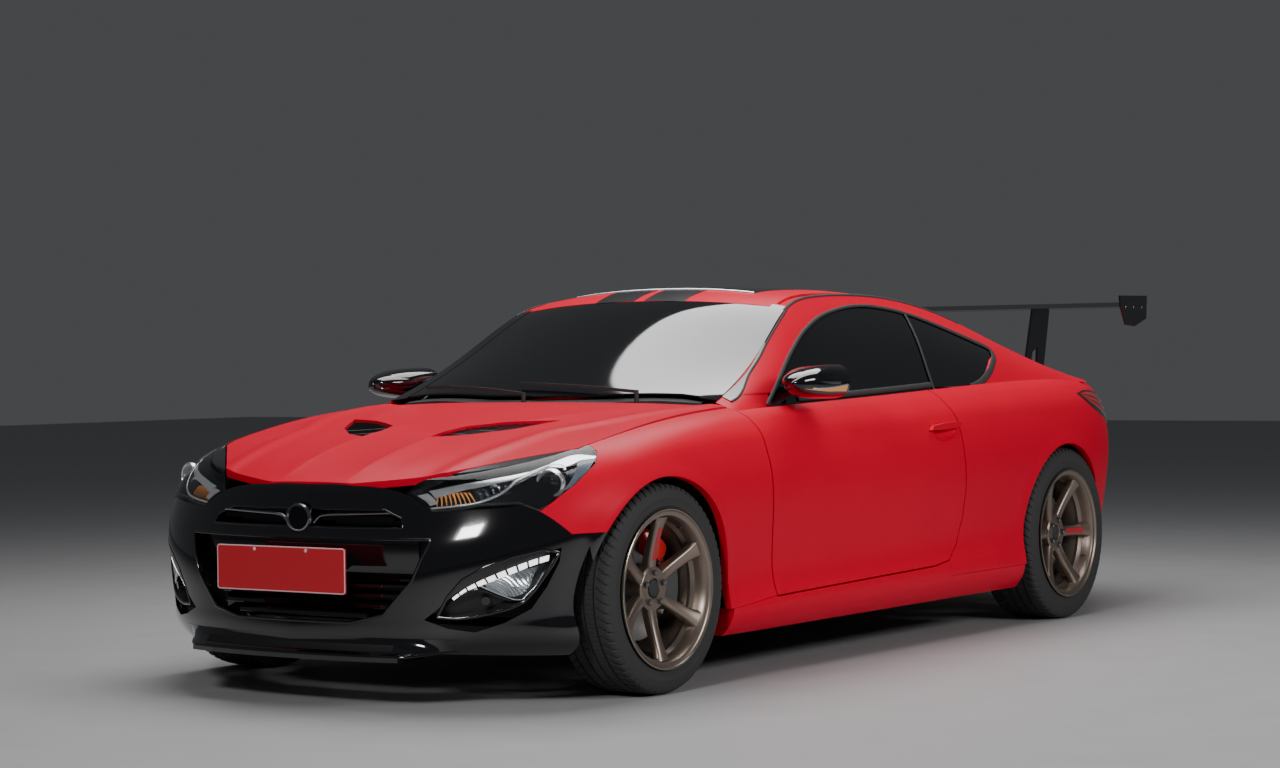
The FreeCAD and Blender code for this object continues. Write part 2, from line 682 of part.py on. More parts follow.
QUARTER_SEAM = REAR_AXLE - 430
quarter_area = [
    (DOOR_REAR + 120, 1000), (DOOR_REAR + 120, 240), (REAR_AXLE, 240), (QUARTER_SEAM + 80, 500),
    (QUARTER_SEAM, 640), (QUARTER_SEAM - 60, 700), (TAIL + 40, 760), (TAIL + 40, 1000),
]
LID_HALF = HALF - S["tail_lamp_reach"]
LAMP_FOOT = 706
LAMP_HEAD = 868
TAIL_LAMP_AHEAD = TAIL + 270
tail_window = box(TAIL - 50, TAIL_LAMP_AHEAD, LID_HALF + GAP + 1, WIDE, LAMP_FOOT, LAMP_HEAD)
quarter = side_skin.common(prism(quarter_area, 0, WIDE)).cut(door_space)
quarter = quarter.cut(box(TAIL - 60, TAIL + 300, 0, LID_HALF + GAP + 1, 600, 1200))
quarter = biggest(quarter.cut(box(TAIL - 60, TAIL_LAMP_AHEAD + 1, LID_HALF, WIDE, 600, LAMP_HEAD + 1)))
quarter = quarter.cut(box(BACK_BASE + 30, DOOR_REAR + 200, 0, BELT_HALF, 700, 1200))

# Trunk lid and deck

LID_AHEAD = BACK_BASE - 46
deck = slab(deck_point, steps(TAIL + 96, BACK_BASE + 20, 6), steps(-1, 1, 7), S["hood_depth"])
lid_top = biggest(deck.common(box(TAIL + 90, LID_AHEAD, -LID_HALF, LID_HALF, 700, 1200)))
lid_face = biggest(side_solid.common(box(TAIL - 100, TAIL + 140, -10, LID_HALF, 720, 1200)))
trunk_lid = biggest(joined([lid_top, lid_face, mirrored(lid_face)]))
node("trunk_lid", trunk_lid)
deck_side = biggest(deck.common(box(TAIL + 100, BACK_BASE + 10, LID_HALF + GAP, WIDE, 700, 1200)))
deck_front = biggest(deck.common(box(LID_AHEAD + GAP, BACK_BASE + 10, 0, LID_HALF + GAP + 20, 700, 1200)))

# Greenhouse: windshield, roof, sunroof and rear glass between the gutters

roof_stations = [BACK_BASE - 40, BACK_BASE + 60, between(BACK_BASE, BACK_TOP, 0.45), BACK_TOP - 80, BACK_TOP + 60,
                 between(BACK_TOP, GLASS_TOP, 0.35), between(BACK_TOP, GLASS_TOP, 0.6), GLASS_TOP - 150,
                 GLASS_TOP - 50, GLASS_TOP + 40, GLASS_TOP + 160, between(GLASS_TOP, GLASS_BASE, 0.55),
                 GLASS_BASE - 100, GLASS_BASE + 50]
roof_rows = steps(-1, 1, 9)
greenhouse = slab(roof_point, roof_stations, roof_rows, S["roof_depth"])
glass_shell = slab(roof_point, roof_stations, roof_rows, S["glass"])


def gutter_plan(x0, x1, inside):
    """The plan between two stations, drawn in from both gutters."""
    left = [(x, smooth(GUTTER_WIDTH, x) - inside) for x in steps(x0, x1, 6)]
    return left + [(x, -y) for x, y in reversed(left)]


PILLAR = S["frame_depth"] + 4
windshield = biggest(glass_shell.common(prism(gutter_plan(GLASS_TOP, GLASS_BASE + 40, PILLAR), 700, 1500, "xy")))
cowl_foot = [(GLASS_BASE - 96, -WIDE), (GLASS_BASE - 96, -560), (GLASS_BASE - 48, -240), (GLASS_BASE - 36, 0),
             (GLASS_BASE - 48, 240), (GLASS_BASE - 96, 560), (GLASS_BASE - 96, WIDE), (GLASS_BASE + 300, WIDE),
             (GLASS_BASE + 300, -WIDE)]
windshield = biggest(windshield.cut(prism(cowl_foot, 700, 1500, "xy")))
node("windshield", windshield)
REAR_GLASS_SIDE = PILLAR + 36
rear_window = biggest(glass_shell.common(prism(gutter_plan(BACK_BASE, BACK_TOP, REAR_GLASS_SIDE), 700, 1500, "xy")))
node("rear_window", rear_window)
SUNROOF_HALF = 400
SUNROOF_AHEAD = GLASS_TOP - 90
SUNROOF_BEHIND = GLASS_TOP - 590
sunroof = biggest(glass_shell.common(box(SUNROOF_BEHIND, SUNROOF_AHEAD, -SUNROOF_HALF, SUNROOF_HALF, 1000, 1500)))
node("sunroof", sunroof)
sunroof_space = box(SUNROOF_BEHIND - SEAM, SUNROOF_AHEAD + SEAM, -SUNROOF_HALF - SEAM, SUNROOF_HALF + SEAM,
                    1000, 1500)
roof = greenhouse.common(prism(gutter_plan(BACK_TOP + SEAM, GLASS_TOP - SEAM, PILLAR), 700, 1500, "xy"))
node("roof_panel", biggest(roof.cut(sunroof_space)))
glass_space = prism(gutter_plan(BACK_BASE, BACK_TOP + 200, REAR_GLASS_SIDE - SEAM), 700, 1500, "xy")
back_strip = greenhouse.common(box(BACK_BASE - 30, BACK_TOP, 0, WIDE, 700, 1500)).cut(glass_space)
back_strip = biggest(back_strip.common(prism(gutter_plan(BACK_BASE - 40, BACK_TOP, 10), 700, 1500, "xy")))

# Side frames: A pillar, cantrail and C pillar with the quarter panel

cabin_stations = [BACK_BASE - 20, BACK_BASE + 120, between(BACK_BASE, BACK_TOP, 0.5), BACK_TOP - 60,
                  between(BACK_TOP, GLASS_TOP, 0.25), between(BACK_TOP, GLASS_TOP, 0.5),
                  between(BACK_TOP, GLASS_TOP, 0.75), GLASS_TOP - 90, GLASS_TOP + 20, GLASS_TOP + 140,
                  between(GLASS_TOP, GLASS_BASE, 0.45), between(GLASS_TOP, GLASS_BASE, 0.7), GLASS_BASE - 70]
cabin_side = slab(cabin_side_point, cabin_stations, steps(0, 1, 6), S["frame_depth"])
WINDOW = [
    (FRONT_AXLE - 812, 880), (FRONT_AXLE - 1035, 1030), (FRONT_AXLE - 1150, 1100), (FRONT_AXLE - 1240, 1144),
    (FRONT_AXLE - 1380, 1192), (GLASS_TOP - 300, 1222), (BACK_TOP + 560, 1240), (BACK_TOP + 290, 1214),
    (BACK_TOP + 48, 1158), (BACK_TOP - 258, 1076), (BACK_TOP - 254, 1054), (BACK_TOP - 177, 1031),
    (BACK_TOP - 45, 958), (BACK_TOP + 133, 912), (BACK_TOP + 315, 886),
]
SEAL = 3
frame = cabin_side.cut(prism(WINDOW, 0, WIDE))
frame = frame.cut(prism([(DOOR_FRONT + GAP, 700), (DOOR_FRONT + GAP, 928), (DOOR_REAR + 62 - GAP, 934),
                         (DOOR_REAR + 62 - GAP, 700)], 0, WIDE))
side_frame = joined([biggest(frame), quarter, deck_side, deck_front, back_strip])
B_STRIP_TOP = BACK_TOP + 276
B_STRIP_FOOT = BACK_TOP + 386
glass_side = slab(cabin_side_point, cabin_stations, steps(0, 1, 6), S["glass"] + S["glass_step"], S["glass_step"])
side_glass = glass_side.common(prism(grown(WINDOW, -SEAL), 0, WIDE))
SAIL = [(FRONT_AXLE - 780, 862), (FRONT_AXLE - 780, 1040), (FRONT_AXLE - 1046, 1040), (FRONT_AXLE - 1004, 862)]
door_glass = biggest(side_glass.common(prism([(B_STRIP_TOP + 8, 1400), (B_STRIP_FOOT + 8, 890), (FRONT_AXLE, 890),
                                              (FRONT_AXLE, 1400)], 0, WIDE)).cut(prism(grown(SAIL, 0.3), 0, WIDE)))
sail_sheet = slab(cabin_side_point, cabin_stations, steps(0, 1, 6), 22, 2)
sail = biggest(sail_sheet.common(prism(grown(WINDOW, -SEAL), 0, WIDE)).common(prism(SAIL, 0, WIDE)))
quarter_glass = biggest(side_glass.common(prism([
    (B_STRIP_TOP, 1400), (between(B_STRIP_TOP, B_STRIP_FOOT, 0.91), 932), (BACK_BASE, 932), (BACK_BASE, 1400)], 0, WIDE)))
pair("side_frame", side_frame)
pair("door_glass", door_glass)
node("quarter_glass", both(quarter_glass))

# Rear bumper and tail lamps

TIPS = (-560, -440)
TIP_HEIGHT = 232
tip_space = prism([(TIPS[0] - 62, 100), (TIPS[0] - 62, 250), (TIPS[0] - 34, 292), (TIPS[1] + 34, 292),
                   (TIPS[1] + 62, 250), (TIPS[1] + 62, 100)], TAIL - 100, TAIL + 330, "yz")
rear_half = biggest(side_skin.common(prism([
    (REAR_AXLE - 200, 240 - SEAM), (QUARTER_SEAM + 80, 500 - SEAM), (QUARTER_SEAM - SEAM, 640),
    (QUARTER_SEAM - 60 - SEAM, 699), (TAIL - 100, 699), (TAIL - 100, 100), (REAR_AXLE - 200, 100),
], 0, WIDE)))
rear_bumper = biggest(joined([rear_half, mirrored(rear_half)]).cut(tip_space))
node("rear_bumper", rear_bumper)
lamp_tail = slab(side_point, [2.2, 2.32, 2.44, 2.56, 2.68, 2.8, 3.0], LEVELS[3:], S["lamp_depth"])
node("tail_lamps", both(biggest(lamp_tail.common(tail_window))))

# Side skirts below the doors

skirt_area = [
    (REAR_AXLE + 362, 100), (REAR_AXLE + 366, 240 - SEAM), (DOOR_REAR + 120 + SEAM, 240 - SEAM),
    (DOOR_REAR + 120 + SEAM, 310), (DOOR_FOOT - 100, 310), (DOOR_FOOT + GAP - 2, 262 - SEAM),
    (DOOR_FOOT + 260, 240 - SEAM), (FRONT_AXLE - 368, 240 - SEAM), (FRONT_AXLE - 358, 100),
]
skirt_solid = slab(side_point, [1.0, 1.15, 1.3, 1.5, 1.7, 1.85, 2.0], LEVELS, S["door_depth"] - 52)
skirt = biggest(skirt_solid.common(prism(skirt_area, 0, WIDE)).cut(door_space))
node("side_skirts", both(skirt))


# Wheels: barrel, spokes, hub and brake disc, about the Y axis with the outer face towards +Y

HUB_FACE = 26
DISC_BACK = 118


def wheel_body(end, tread):
    lip, seat, wall = size("rim_flange"), size("bead_seat"), size("rim_wall")
    half = tread * 0.5 - 4
    well = seat - 30
    body = new_body("rim_" + end)
    turned(body, "centre_" + end, [
        (0, half - HUB_FACE), (size("hub_radius") - 14, half - HUB_FACE), (size("hub_radius"), half - HUB_FACE - 14),
        (size("hub_radius"), half - DISC_BACK), (size("disc_radius"), half - DISC_BACK),
        (size("disc_radius"), half - DISC_BACK - size("disc_sheet")), (0, half - DISC_BACK - size("disc_sheet")),
    ])
    profile = [
        (size("hub_radius") - 20, half - HUB_FACE - 8), (seat * 0.62, half - 22), (well + 8, half - 6),
        (well + 8, half - 34), (seat * 0.62, half - 56), (size("hub_radius") - 20, half - HUB_FACE - 60),
    ]
    # The front wheels stand with a spoke at the top, the rear ones with a spoke to the side
    if end == "front":
        plane, profile = "yz", [(depth, radius) for radius, depth in profile]
    else:
        plane = "xy"
    spoke = pad(body, "spoke_" + end, plane, profile, size("spoke_width"), size("spoke_width") * -0.5)
    fan = body.newObject("PartDesign::PolarPattern", "spokes_" + end)
    fan.Originals = [spoke]
    fan.Axis = ([f for f in body.Origin.OriginFeatures if f.Role == "Y_Axis"][0], [""])
    fan.Angle = 360
    bind(fan, Occurrences=size("spoke_count"))
    body.Tip = fan
    turned(body, "barrel_" + end, [
        (lip, half + 2), (lip, half - 5), (seat, half - 10), (well, half - 48), (well, -half + 40),
        (seat, -half + 10), (lip, -half + 5), (lip, -half - 2), (well - wall, -half + 36), (well - wall, half - 52),
        (seat - wall, half - 10),
    ])
    return body


def tyre_body(end, diameter, tread):
    half, radius, seat = tread * 0.5, diameter * 0.5, size("bead_seat") + 0.3
    body = new_body("rubber_" + end)
    turned(body, "section_" + end, [
        (seat, half - 15), (radius, half - 8), (radius, -half + 8), (seat, -half + 15),
    ])
    return body


for end, axle, hub, track, diameter, tread in (
        ("front", front_axle, front_hub, size("track_front"), size("tyre_front"), size("tread_front")),
        ("rear", rear_axle, rear_hub, size("track_rear"), size("tyre_rear"), size("tread_rear"))):
    for body, name in ((wheel_body(end, tread), "wheel"), (tyre_body(end, diameter, tread), "tyre")):
        put(body, axle, track * 0.5, hub)
        doc.recompute()
        keep(body, "%s_%s_left" % (name, end))
        keep(reflected("%s_%s_mirror" % (name, end), body), "%s_%s_right" % (name, end))


# Floor pan: cabin floor with its tunnel, raised boot floor, rails, strut towers and aprons

FLOOR_TOP = S["ground_gap"] + S["floor_sheet"]
FLOOR_HALF = HALF - S["door_depth"] - 24
BOOT_FLOOR = 455
KICK = REAR_AXLE + 400
PAN = [
    (FRONT_AXLE - 440, S["ground_gap"]), (KICK, S["ground_gap"]), (KICK - 170, BOOT_FLOOR - 20),
    (TAIL + 190, BOOT_FLOOR - 20), (TAIL + 190, BOOT_FLOOR), (KICK - 150, BOOT_FLOOR), (KICK + 16, FLOOR_TOP),
    (FRONT_AXLE - 440, FLOOR_TOP),
]
pan = prism(PAN, -FLOOR_HALF, FLOOR_HALF)
house_gap = box(REAR_AXLE - 410, REAR_AXLE + 410, 560, WIDE, 0, 1000)
tail_plan = prism([(TAIL, -560), (TAIL + 190, -560), (TAIL + 380, -FLOOR_HALF), (FRONT_AXLE, -FLOOR_HALF),
                   (FRONT_AXLE, FLOOR_HALF), (TAIL + 380, FLOOR_HALF), (TAIL + 190, 560), (TAIL, 560)],
                  0, 900, "xy")
pan = pan.common(tail_plan).cut(house_gap).cut(mirrored(house_gap))
TUNNEL = [(-118, FLOOR_TOP - 10), (-106, 300), (106, 300), (118, FLOOR_TOP - 10)]
tunnel = prism(TUNNEL, KICK - 60, FRONT_AXLE - 440, "yz")
tunnel_space = prism([(-104, 100), (-104, FLOOR_TOP), (-92, 282), (92, 282), (104, FLOOR_TOP), (104, 100)],
                     KICK - 130, FRONT_AXLE - 430, "yz")
tunnel_way = prism(grown(TUNNEL, 0.5), KICK - 200, FRONT_AXLE, "yz")
rail = prism([(FRONT_AXLE - 445, 142), (FRONT_AXLE - 445, 230), (FRONT_AXLE - 330, 440), (FRONT_AXLE + 560, 440),
              (FRONT_AXLE + 560, 350), (FRONT_AXLE - 250, 350), (FRONT_AXLE - 380, 142)], 410, 470)
apron = prism([(FRONT_AXLE - 470, 430), (FRONT_AXLE - 470, 770), (FRONT_AXLE + 150, 735), (FRONT_AXLE + 420, 660),
               (FRONT_AXLE + 420, 430)], 462, 476)
tower = box(FRONT_AXLE - 105, FRONT_AXLE + 105, 470, 700, 738, 752)
side_rail = box(TAIL + 270, REAR_AXLE - 405, 520, 630, BOOT_FLOOR - 120, BOOT_FLOOR - 15)
half_pan = [rail, apron, tower, side_rail]
floor_pan = joined([pan, tunnel] + half_pan + [mirrored(part) for part in half_pan]).cut(tunnel_space)
node("floor_pan", biggest(floor_pan))

# Bulkhead, dashboard and parcel shelf

DASH_HALF = HALF - S["door_depth"] - 12
COLUMN_TILT = 26
wheel_x, wheel_z = FRONT_AXLE - 960, 760
column_along = V(math.cos(math.radians(COLUMN_TILT)), 0, -math.sin(math.radians(COLUMN_TILT)))
COLUMN_END = 111


def column_point(distance):
    p = V(wheel_x, S["seat_half_gap"], wheel_z) + column_along * distance
    return (p.x, p.y, p.z)


WALL = FRONT_AXLE - 500
firewall = box(WALL, WALL + 30, -700, 700, FLOOR_TOP, 812).cut(tunnel_way)
scuttle = prism([(WALL - 4, 812), (WALL - 4, 872), (WALL - 14, 872), (WALL - 14, 790), (WALL + 2, 790), (WALL + 2, 812)],
                -560, 560)
dashboard = prism([(WALL + 4, 640), (WALL - 320, 620), (WALL - 350, 700), (WALL - 330, 790), (WALL - 280, 820),
                   (WALL - 12, 838), (WALL - 12, 800), (WALL + 4, 800)], -DASH_HALF, DASH_HALF)
corner_gap = box(WALL - 20, WALL + 40, 700, WIDE, 0, 900)
dashboard = dashboard.cut(corner_gap).cut(mirrored(corner_gap))
shroud = rod(36, column_point(COLUMN_END + 0.3), column_point(COLUMN_END + 120))
cowl = firewall.fuse(scuttle).fuse(dashboard).fuse(shroud)
node("cowl", biggest(cowl))
cover = slab(roof_point, [GLASS_BASE - 160, GLASS_BASE - 110, GLASS_BASE - 60, GLASS_BASE - 20, GLASS_BASE + 20,
                          GLASS_BASE + 60], roof_rows, 26, 16)
hood_clear = prism(grown(HOOD, 30), 500, 1200, "xy")
cover = biggest(cover.common(prism(gutter_plan(GLASS_BASE - 150, GLASS_BASE + 30, 64), 700, 1000, "xy"))
                .common(prism(cowl_foot, 700, 1500, "xy")).cut(hood_clear))
shelf = prism([(KICK - 158, BOOT_FLOOR + 0.3), (KICK - 140, BOOT_FLOOR + 0.3), (KICK - 230, 880),
               (BACK_BASE + 60, 880), (BACK_BASE + 60, 862), (KICK - 250, 862)], -555, 555)
node("rear_shelf", shelf)

# Wheel houses

liner_parts = []
for end, axle, hub, inner, outer in (
        ("front", front_axle, front_hub, 478, size("half_width") - 108),
        ("rear", rear_axle, rear_hub, 562, size("half_width") - 62)):
    shell = drum("house_" + end, "y", axle, inner, hub, size("arch_inner") + 4, outer - inner)
    space = drum("house_space_" + end, "y", axle, as_size(inner) - 1, hub, size("arch_inner"), outer - inner + 2)
    below = block("house_foot_" + end, axle - 600, as_size(inner) - 2, 0, 1200, outer - inner + 4, hub - 70)
    arch = cut("house_arch_" + end, cut("house_shell_" + end, shell, space), below)
    liner_parts += [arch]
doc.recompute()
front_liner = liner_parts[0].Shape.cut(box(FRONT_AXLE - 70, FRONT_AXLE + 70, 0, 700, 600, 1000))
front_liner = front_liner.common(prism([
    (FRONT_AXLE - 500, 0), (FRONT_AXLE - 500, WIDE), (FRONT_AXLE + 60, WIDE), (FRONT_AXLE + 250, HALF - 112),
    (FRONT_AXLE + 420, HALF - 172), (FRONT_AXLE + 420, 0)], 0, 900, "xy"))
rear_liner = liner_parts[1].Shape.common(prism([
    (REAR_AXLE + 500, 0), (REAR_AXLE + 500, WIDE), (REAR_AXLE - 150, WIDE), (REAR_AXLE - 200, HALF - 66),
    (REAR_AXLE - 300, HALF - 84), (REAR_AXLE - 500, HALF - 150), (REAR_AXLE - 500, 0)], 0, 900, "xy"))
node("wheel_liners", Part.Compound(both(biggest(front_liner)).Solids + both(biggest(rear_liner)).Solids))

# Front knuckles with their calipers, control arms and struts

KINGPIN = S["track_front"] / 2 - S["kingpin_inset"]


def caliper(axle, hub, y, side):
    """A brake caliper that straddles the disc, ahead of or behind the axle."""
    ring = rod(S["disc_radius"] + 24, (axle, y - 52, hub), (axle, y + 24, hub))
    ring = ring.cut(rod(S["disc_radius"] - 60, (axle, y - 60, hub), (axle, y + 30, hub)))
    ring = ring.cut(rod(S["disc_radius"] + 5, (axle, y - S["disc_sheet"] - 5, hub), (axle, y + 5, hub)))
    near, far = sorted((axle + side * 60, axle + side * 400))
    return ring.common(box(near, far, 0, WIDE, hub - 74, hub + 74))


face_front = S["track_front"] / 2 + S["tread_front"] / 2 - 4 - DISC_BACK
face_rear = S["track_rear"] / 2 + S["tread_rear"] / 2 - 4 - DISC_BACK
disc_inside = face_front - S["disc_sheet"]
knuckle = joined([
    rod(46, (FRONT_AXLE, disc_inside - 62, FRONT_HUB), (FRONT_AXLE, disc_inside - 0.3, FRONT_HUB)),
    box(FRONT_AXLE - 22, FRONT_AXLE + 22, disc_inside - 62, disc_inside - 30, FRONT_HUB - 130, FRONT_HUB + 150),
    box(FRONT_AXLE - 172, FRONT_AXLE, disc_inside - 50, disc_inside - 22, FRONT_HUB - 30, FRONT_HUB + 30),
    caliper(FRONT_AXLE, FRONT_HUB, face_front, -1),
])
pair("knuckle", biggest(knuckle))
knuckle_foot = FRONT_HUB - 130
BALL = disc_inside - 46
STRUT = KINGPIN - 112
arm = prism([(FRONT_AXLE + 24, BALL), (FRONT_AXLE - 24, BALL), (FRONT_AXLE - 210, 430), (FRONT_AXLE - 150, 430),
             (FRONT_AXLE, 560), (FRONT_AXLE + 110, 430), (FRONT_AXLE + 170, 430)],
            knuckle_foot - 22.3, knuckle_foot - 0.3, "xy")
cross = prism([(FRONT_AXLE - 230, 168), (FRONT_AXLE - 230, 204), (FRONT_AXLE + 190, 204), (FRONT_AXLE + 190, 168)],
              -445, 445)
hanger = box(FRONT_AXLE - 60, FRONT_AXLE + 60, 415, 455, 200, 349.7)
strut = rod(24, (FRONT_AXLE, STRUT, 330), (FRONT_AXLE, STRUT, 737.7))
front_half = [arm, hanger, strut]
node("front_suspension", joined([cross] + front_half + [mirrored(part) for part in front_half]))

# Rear hubs, drive shafts, differential and dampers

rear_inside = face_rear - S["disc_sheet"]
damper = rod(26, (REAR_AXLE - 90, 512, REAR_HUB - 80), (REAR_AXLE - 90, 512, BOOT_FLOOR - 20.3))
trailing = prism([(REAR_AXLE - 130, REAR_HUB - 100), (REAR_AXLE - 130, REAR_HUB - 60), (REAR_AXLE + 300, REAR_HUB - 90),
                  (REAR_AXLE + 300, REAR_HUB - 130)], 480, 560)
rear_side = [
    rod(46, (REAR_AXLE, rear_inside - 62, REAR_HUB), (REAR_AXLE, rear_inside - 0.3, REAR_HUB)),
    box(REAR_AXLE, REAR_AXLE + 172, rear_inside - 50, rear_inside - 22, REAR_HUB - 30, REAR_HUB + 30),
    rod(22, (REAR_AXLE, 90, REAR_HUB), (REAR_AXLE, rear_inside - 40, REAR_HUB)),
    caliper(REAR_AXLE, REAR_HUB, face_rear, 1),
    prism([(REAR_AXLE - 30, rear_inside - 44), (REAR_AXLE + 30, rear_inside - 44), (REAR_AXLE + 60, 500),
           (REAR_AXLE - 110, 500)], REAR_HUB - 100, REAR_HUB - 76, "xy"),
    box(REAR_AXLE - 24, REAR_AXLE + 24, rear_inside - 60, rear_inside - 34, REAR_HUB - 100, REAR_HUB),
    trailing, damper,
]
differential = rod(92, (REAR_AXLE - 90, 0, REAR_HUB), (REAR_AXLE + 130, 0, REAR_HUB))
cradle = box(REAR_AXLE - 110, REAR_AXLE - 60, -530, 530, REAR_HUB - 110, REAR_HUB - 70)
final_drive = box(REAR_AXLE - 60, REAR_AXLE + 60, -100, 100, REAR_HUB - 100, REAR_HUB + 50)
node("rear_suspension", joined([differential, cradle, final_drive] + rear_side
                               + [mirrored(part) for part in rear_side]))

# Engine block and exhaust

engine = block("block_shape", front_axle - size("engine_length") * 0.5 - 80, size("engine_width") * -0.5,
               FLOOR_TOP + 70, size("engine_length"), size("engine_width"), size("engine_height"))
keep(engine, "engine")
PIPE_Y = 0
pipe = rod(S["pipe_radius"], (FRONT_AXLE - 420, PIPE_Y, 215), (REAR_AXLE + 340, PIPE_Y, 215))
slope = rod(S["pipe_radius"], (REAR_AXLE + 345, PIPE_Y, 215), (REAR_AXLE - 180, -300, 190))
link = rod(S["pipe_radius"], (REAR_AXLE - 170, -300, 190), (TAIL + 400, -380, 232))
silencer = prism([(-600, 190), (-570, 160), (-330, 160), (-300, 190), (-300, 290), (-330, 318), (-570, 318),
                  (-600, 290)], TAIL + 262, TAIL + 450, "yz")
tips = [rod(S["tip_radius"], (TAIL + 270, y, TIP_HEIGHT), (TAIL + 14, y, TIP_HEIGHT)) for y in TIPS]
holes = [rod(S["tip_radius"] - 5, (TAIL + 110, y, TIP_HEIGHT), (TAIL, y, TIP_HEIGHT)) for y in TIPS]
exhaust = joined([silencer, pipe, slope, link] + tips)
for hole in holes:
    exhaust = exhaust.cut(hole)
node("exhaust", biggest(exhaust))

# Cabin: seats, steering wheel and console


def seat_body(name, side):
    body = new_body(name)
    base = front_axle - 1130
    half = size("seat_width") * 0.5
    middle = size("seat_half_gap") * side
    pad(body, name + "_side", "xz", [
        (base, FLOOR_TOP + 0.3), (base + 10, FLOOR_TOP + 230), (base - 60, FLOOR_TOP + 262),
        (base - 400, FLOOR_TOP + 215), (base - 610, 860), (base - 650, 880), (base - 655, 1050),
        (base - 735, 1050), (base - 770, 880), (base - 640, FLOOR_TOP + 40), (base - 560, FLOOR_TOP + 0.3),
    ], half * 2, -middle - half)
    return body


seats = [seat_body("seat_left_form", 1), seat_body("seat_right_form", -1)]
doc.recompute()
node("front_seats", Part.Compound([s for item in seats for s in item.Shape.Solids]))
rear_seat = prism([
    (KICK + 20, FLOOR_TOP + 0.3), (KICK + 480, FLOOR_TOP + 0.3), (KICK + 480, FLOOR_TOP + 190),
    (KICK + 20, FLOOR_TOP + 175), (KICK - 130, 840), (KICK - 215, 840), (KICK - 110, BOOT_FLOOR + 20)],
    -548, 548)
node("rear_seat", rear_seat.cut(tunnel_way))
rim, grip = size("steering_wheel_radius"), size("steering_wheel_grip")
wheel = new_body("steering_form")
turned(wheel, "boss", [(0, 20), (44, 20), (58, 4), (58, -20), (22, -20), (22, -COLUMN_END), (0, -COLUMN_END)])
pad(wheel, "arm_low", "xy", [(-12, -8), (12, -8), (12, 6), (-12, 6)], rim, 0)
pad(wheel, "arm_across", "xy", [(-rim, -8), (rim, -8), (rim, 6), (-rim, 6)], 24, -12)
turned(wheel, "grip", [
    (rim + grip, grip * 0.4), (rim + grip * 0.4, grip), (rim - grip * 0.4, grip), (rim - grip, grip * 0.4),
    (rim - grip, grip * -0.4), (rim - grip * 0.4, -grip), (rim + grip * 0.4, -grip), (rim + grip, grip * -0.4)])
face = column_along * -1
foot = V(face.z, 0, -face.x) * -1
wheel.Placement = FreeCAD.Placement(V(0, 0, 0), FreeCAD.Rotation(face.cross(foot), face, foot, "YZX"))
put(wheel, front_axle - 960, size("seat_half_gap"), wheel_z)
doc.recompute()
keep(wheel, "steering_wheel")
node("centre_console", prism([
    (FRONT_AXLE - 1600, 302), (FRONT_AXLE - 1600, 480), (FRONT_AXLE - 1180, 470), (FRONT_AXLE - 1000, 520),
    (FRONT_AXLE - 856, 690), (FRONT_AXLE - 856, 302)], -104, 104))


# Grille: a hexagonal net of slats and posts set back in the mouth, a bright bar in the slot above

GRILLE_BACK = 44


def nose_band(z, height, back, depth, half, drop=0.0):
    """A bar that follows the nose in plan."""
    power = ROUND[-1][1]
    front = [(NOSE_CENTRE + (NOSE - back) * (1 - (abs(y) / HALF) ** power) ** (1 / power), y)
             for y in steps(-half, half, 9)]
    rear = [(x - depth, y) for x, y in reversed(front)]
    band = prism(front + rear, z, z + height, "xy")
    return band


slats = [nose_band(z, 9, GRILLE_BACK, 24, half) for z, half in
         ((276, 300), (306, 352), (336, 382), (366, 402), (396, 424))]
upper = nose_band(426, 84, GRILLE_BACK + 4, 16, 444)
posts = [prism([(y - lean - 5, 262), (y - lean + 5, 262), (y + 5, 430), (y - 5, 430)],
               FRONT_AXLE + NOSE - GRILLE_BACK - 52, FRONT_AXLE + NOSE - GRILLE_BACK - 28, "yz")
         for y, lean in ((-240, -36), (-80, -12), (80, 12), (240, 36))]
net = joined(slats + [upper] + posts)
node("grille", biggest(net))
bar = nose_band(BADGE_HEIGHT - 6, 14, 68, 46, 346)
backing = nose_band(BADGE_HEIGHT - 34, 62, 110, 8, 388)
badge = rod(S["badge_radius"], (FRONT_AXLE + NOSE - 112, 0, BADGE_HEIGHT), (FRONT_AXLE + NOSE - 46, 0, BADGE_HEIGHT))
node("grille_bar", joined([bar, backing, badge]))
lip = nose_band(146, 14, -34, 130, 420)
node("splitter", lip)
plate = block("plate_shape", front_axle + size("front_overhang") - size("plate_sheet"), size("plate_width") * -0.5,
              351, size("plate_sheet"), size("plate_width"), size("plate_height"))
keep(plate, "number_plate")

# Mirrors, wipers and wing

MIRROR_HEIGHT = 971
MIRROR_BACK = FRONT_AXLE - 926
mirror_middle = S["mirror_half_span"] - S["mirror_half_width"]
mirror_cap = ellipsoid((MIRROR_BACK - 6, mirror_middle, MIRROR_HEIGHT),
                       (186, S["mirror_half_width"], S["mirror_half_height"]))
mirror_cap = mirror_cap.common(box(MIRROR_BACK, MIRROR_BACK + 300, 0, WIDE, MIRROR_HEIGHT - 42, 1100))
mirror_stalk = prism([(FRONT_AXLE - 850, mirror_middle - 24), (FRONT_AXLE - 915, mirror_middle - 24),
                      (FRONT_AXLE - 1004, HALF - 184), (FRONT_AXLE - 932, HALF - 184)],
                     MIRROR_HEIGHT - 42, MIRROR_HEIGHT - 22, "xy")
sail_foot = box(FRONT_AXLE - 980, FRONT_AXLE - 870, DOOR_INSIDE + 1, DOOR_INSIDE + 6, DOOR_TOP, DOOR_TOP + 20)
pair("mirror", biggest(joined([mirror_cap, mirror_stalk, sail, sail_foot])))



def on_glass(x, y, lift):
    p = roof_point(x, y / smooth(GUTTER_WIDTH, x))
    return (p.x, p.y, p.z + lift)


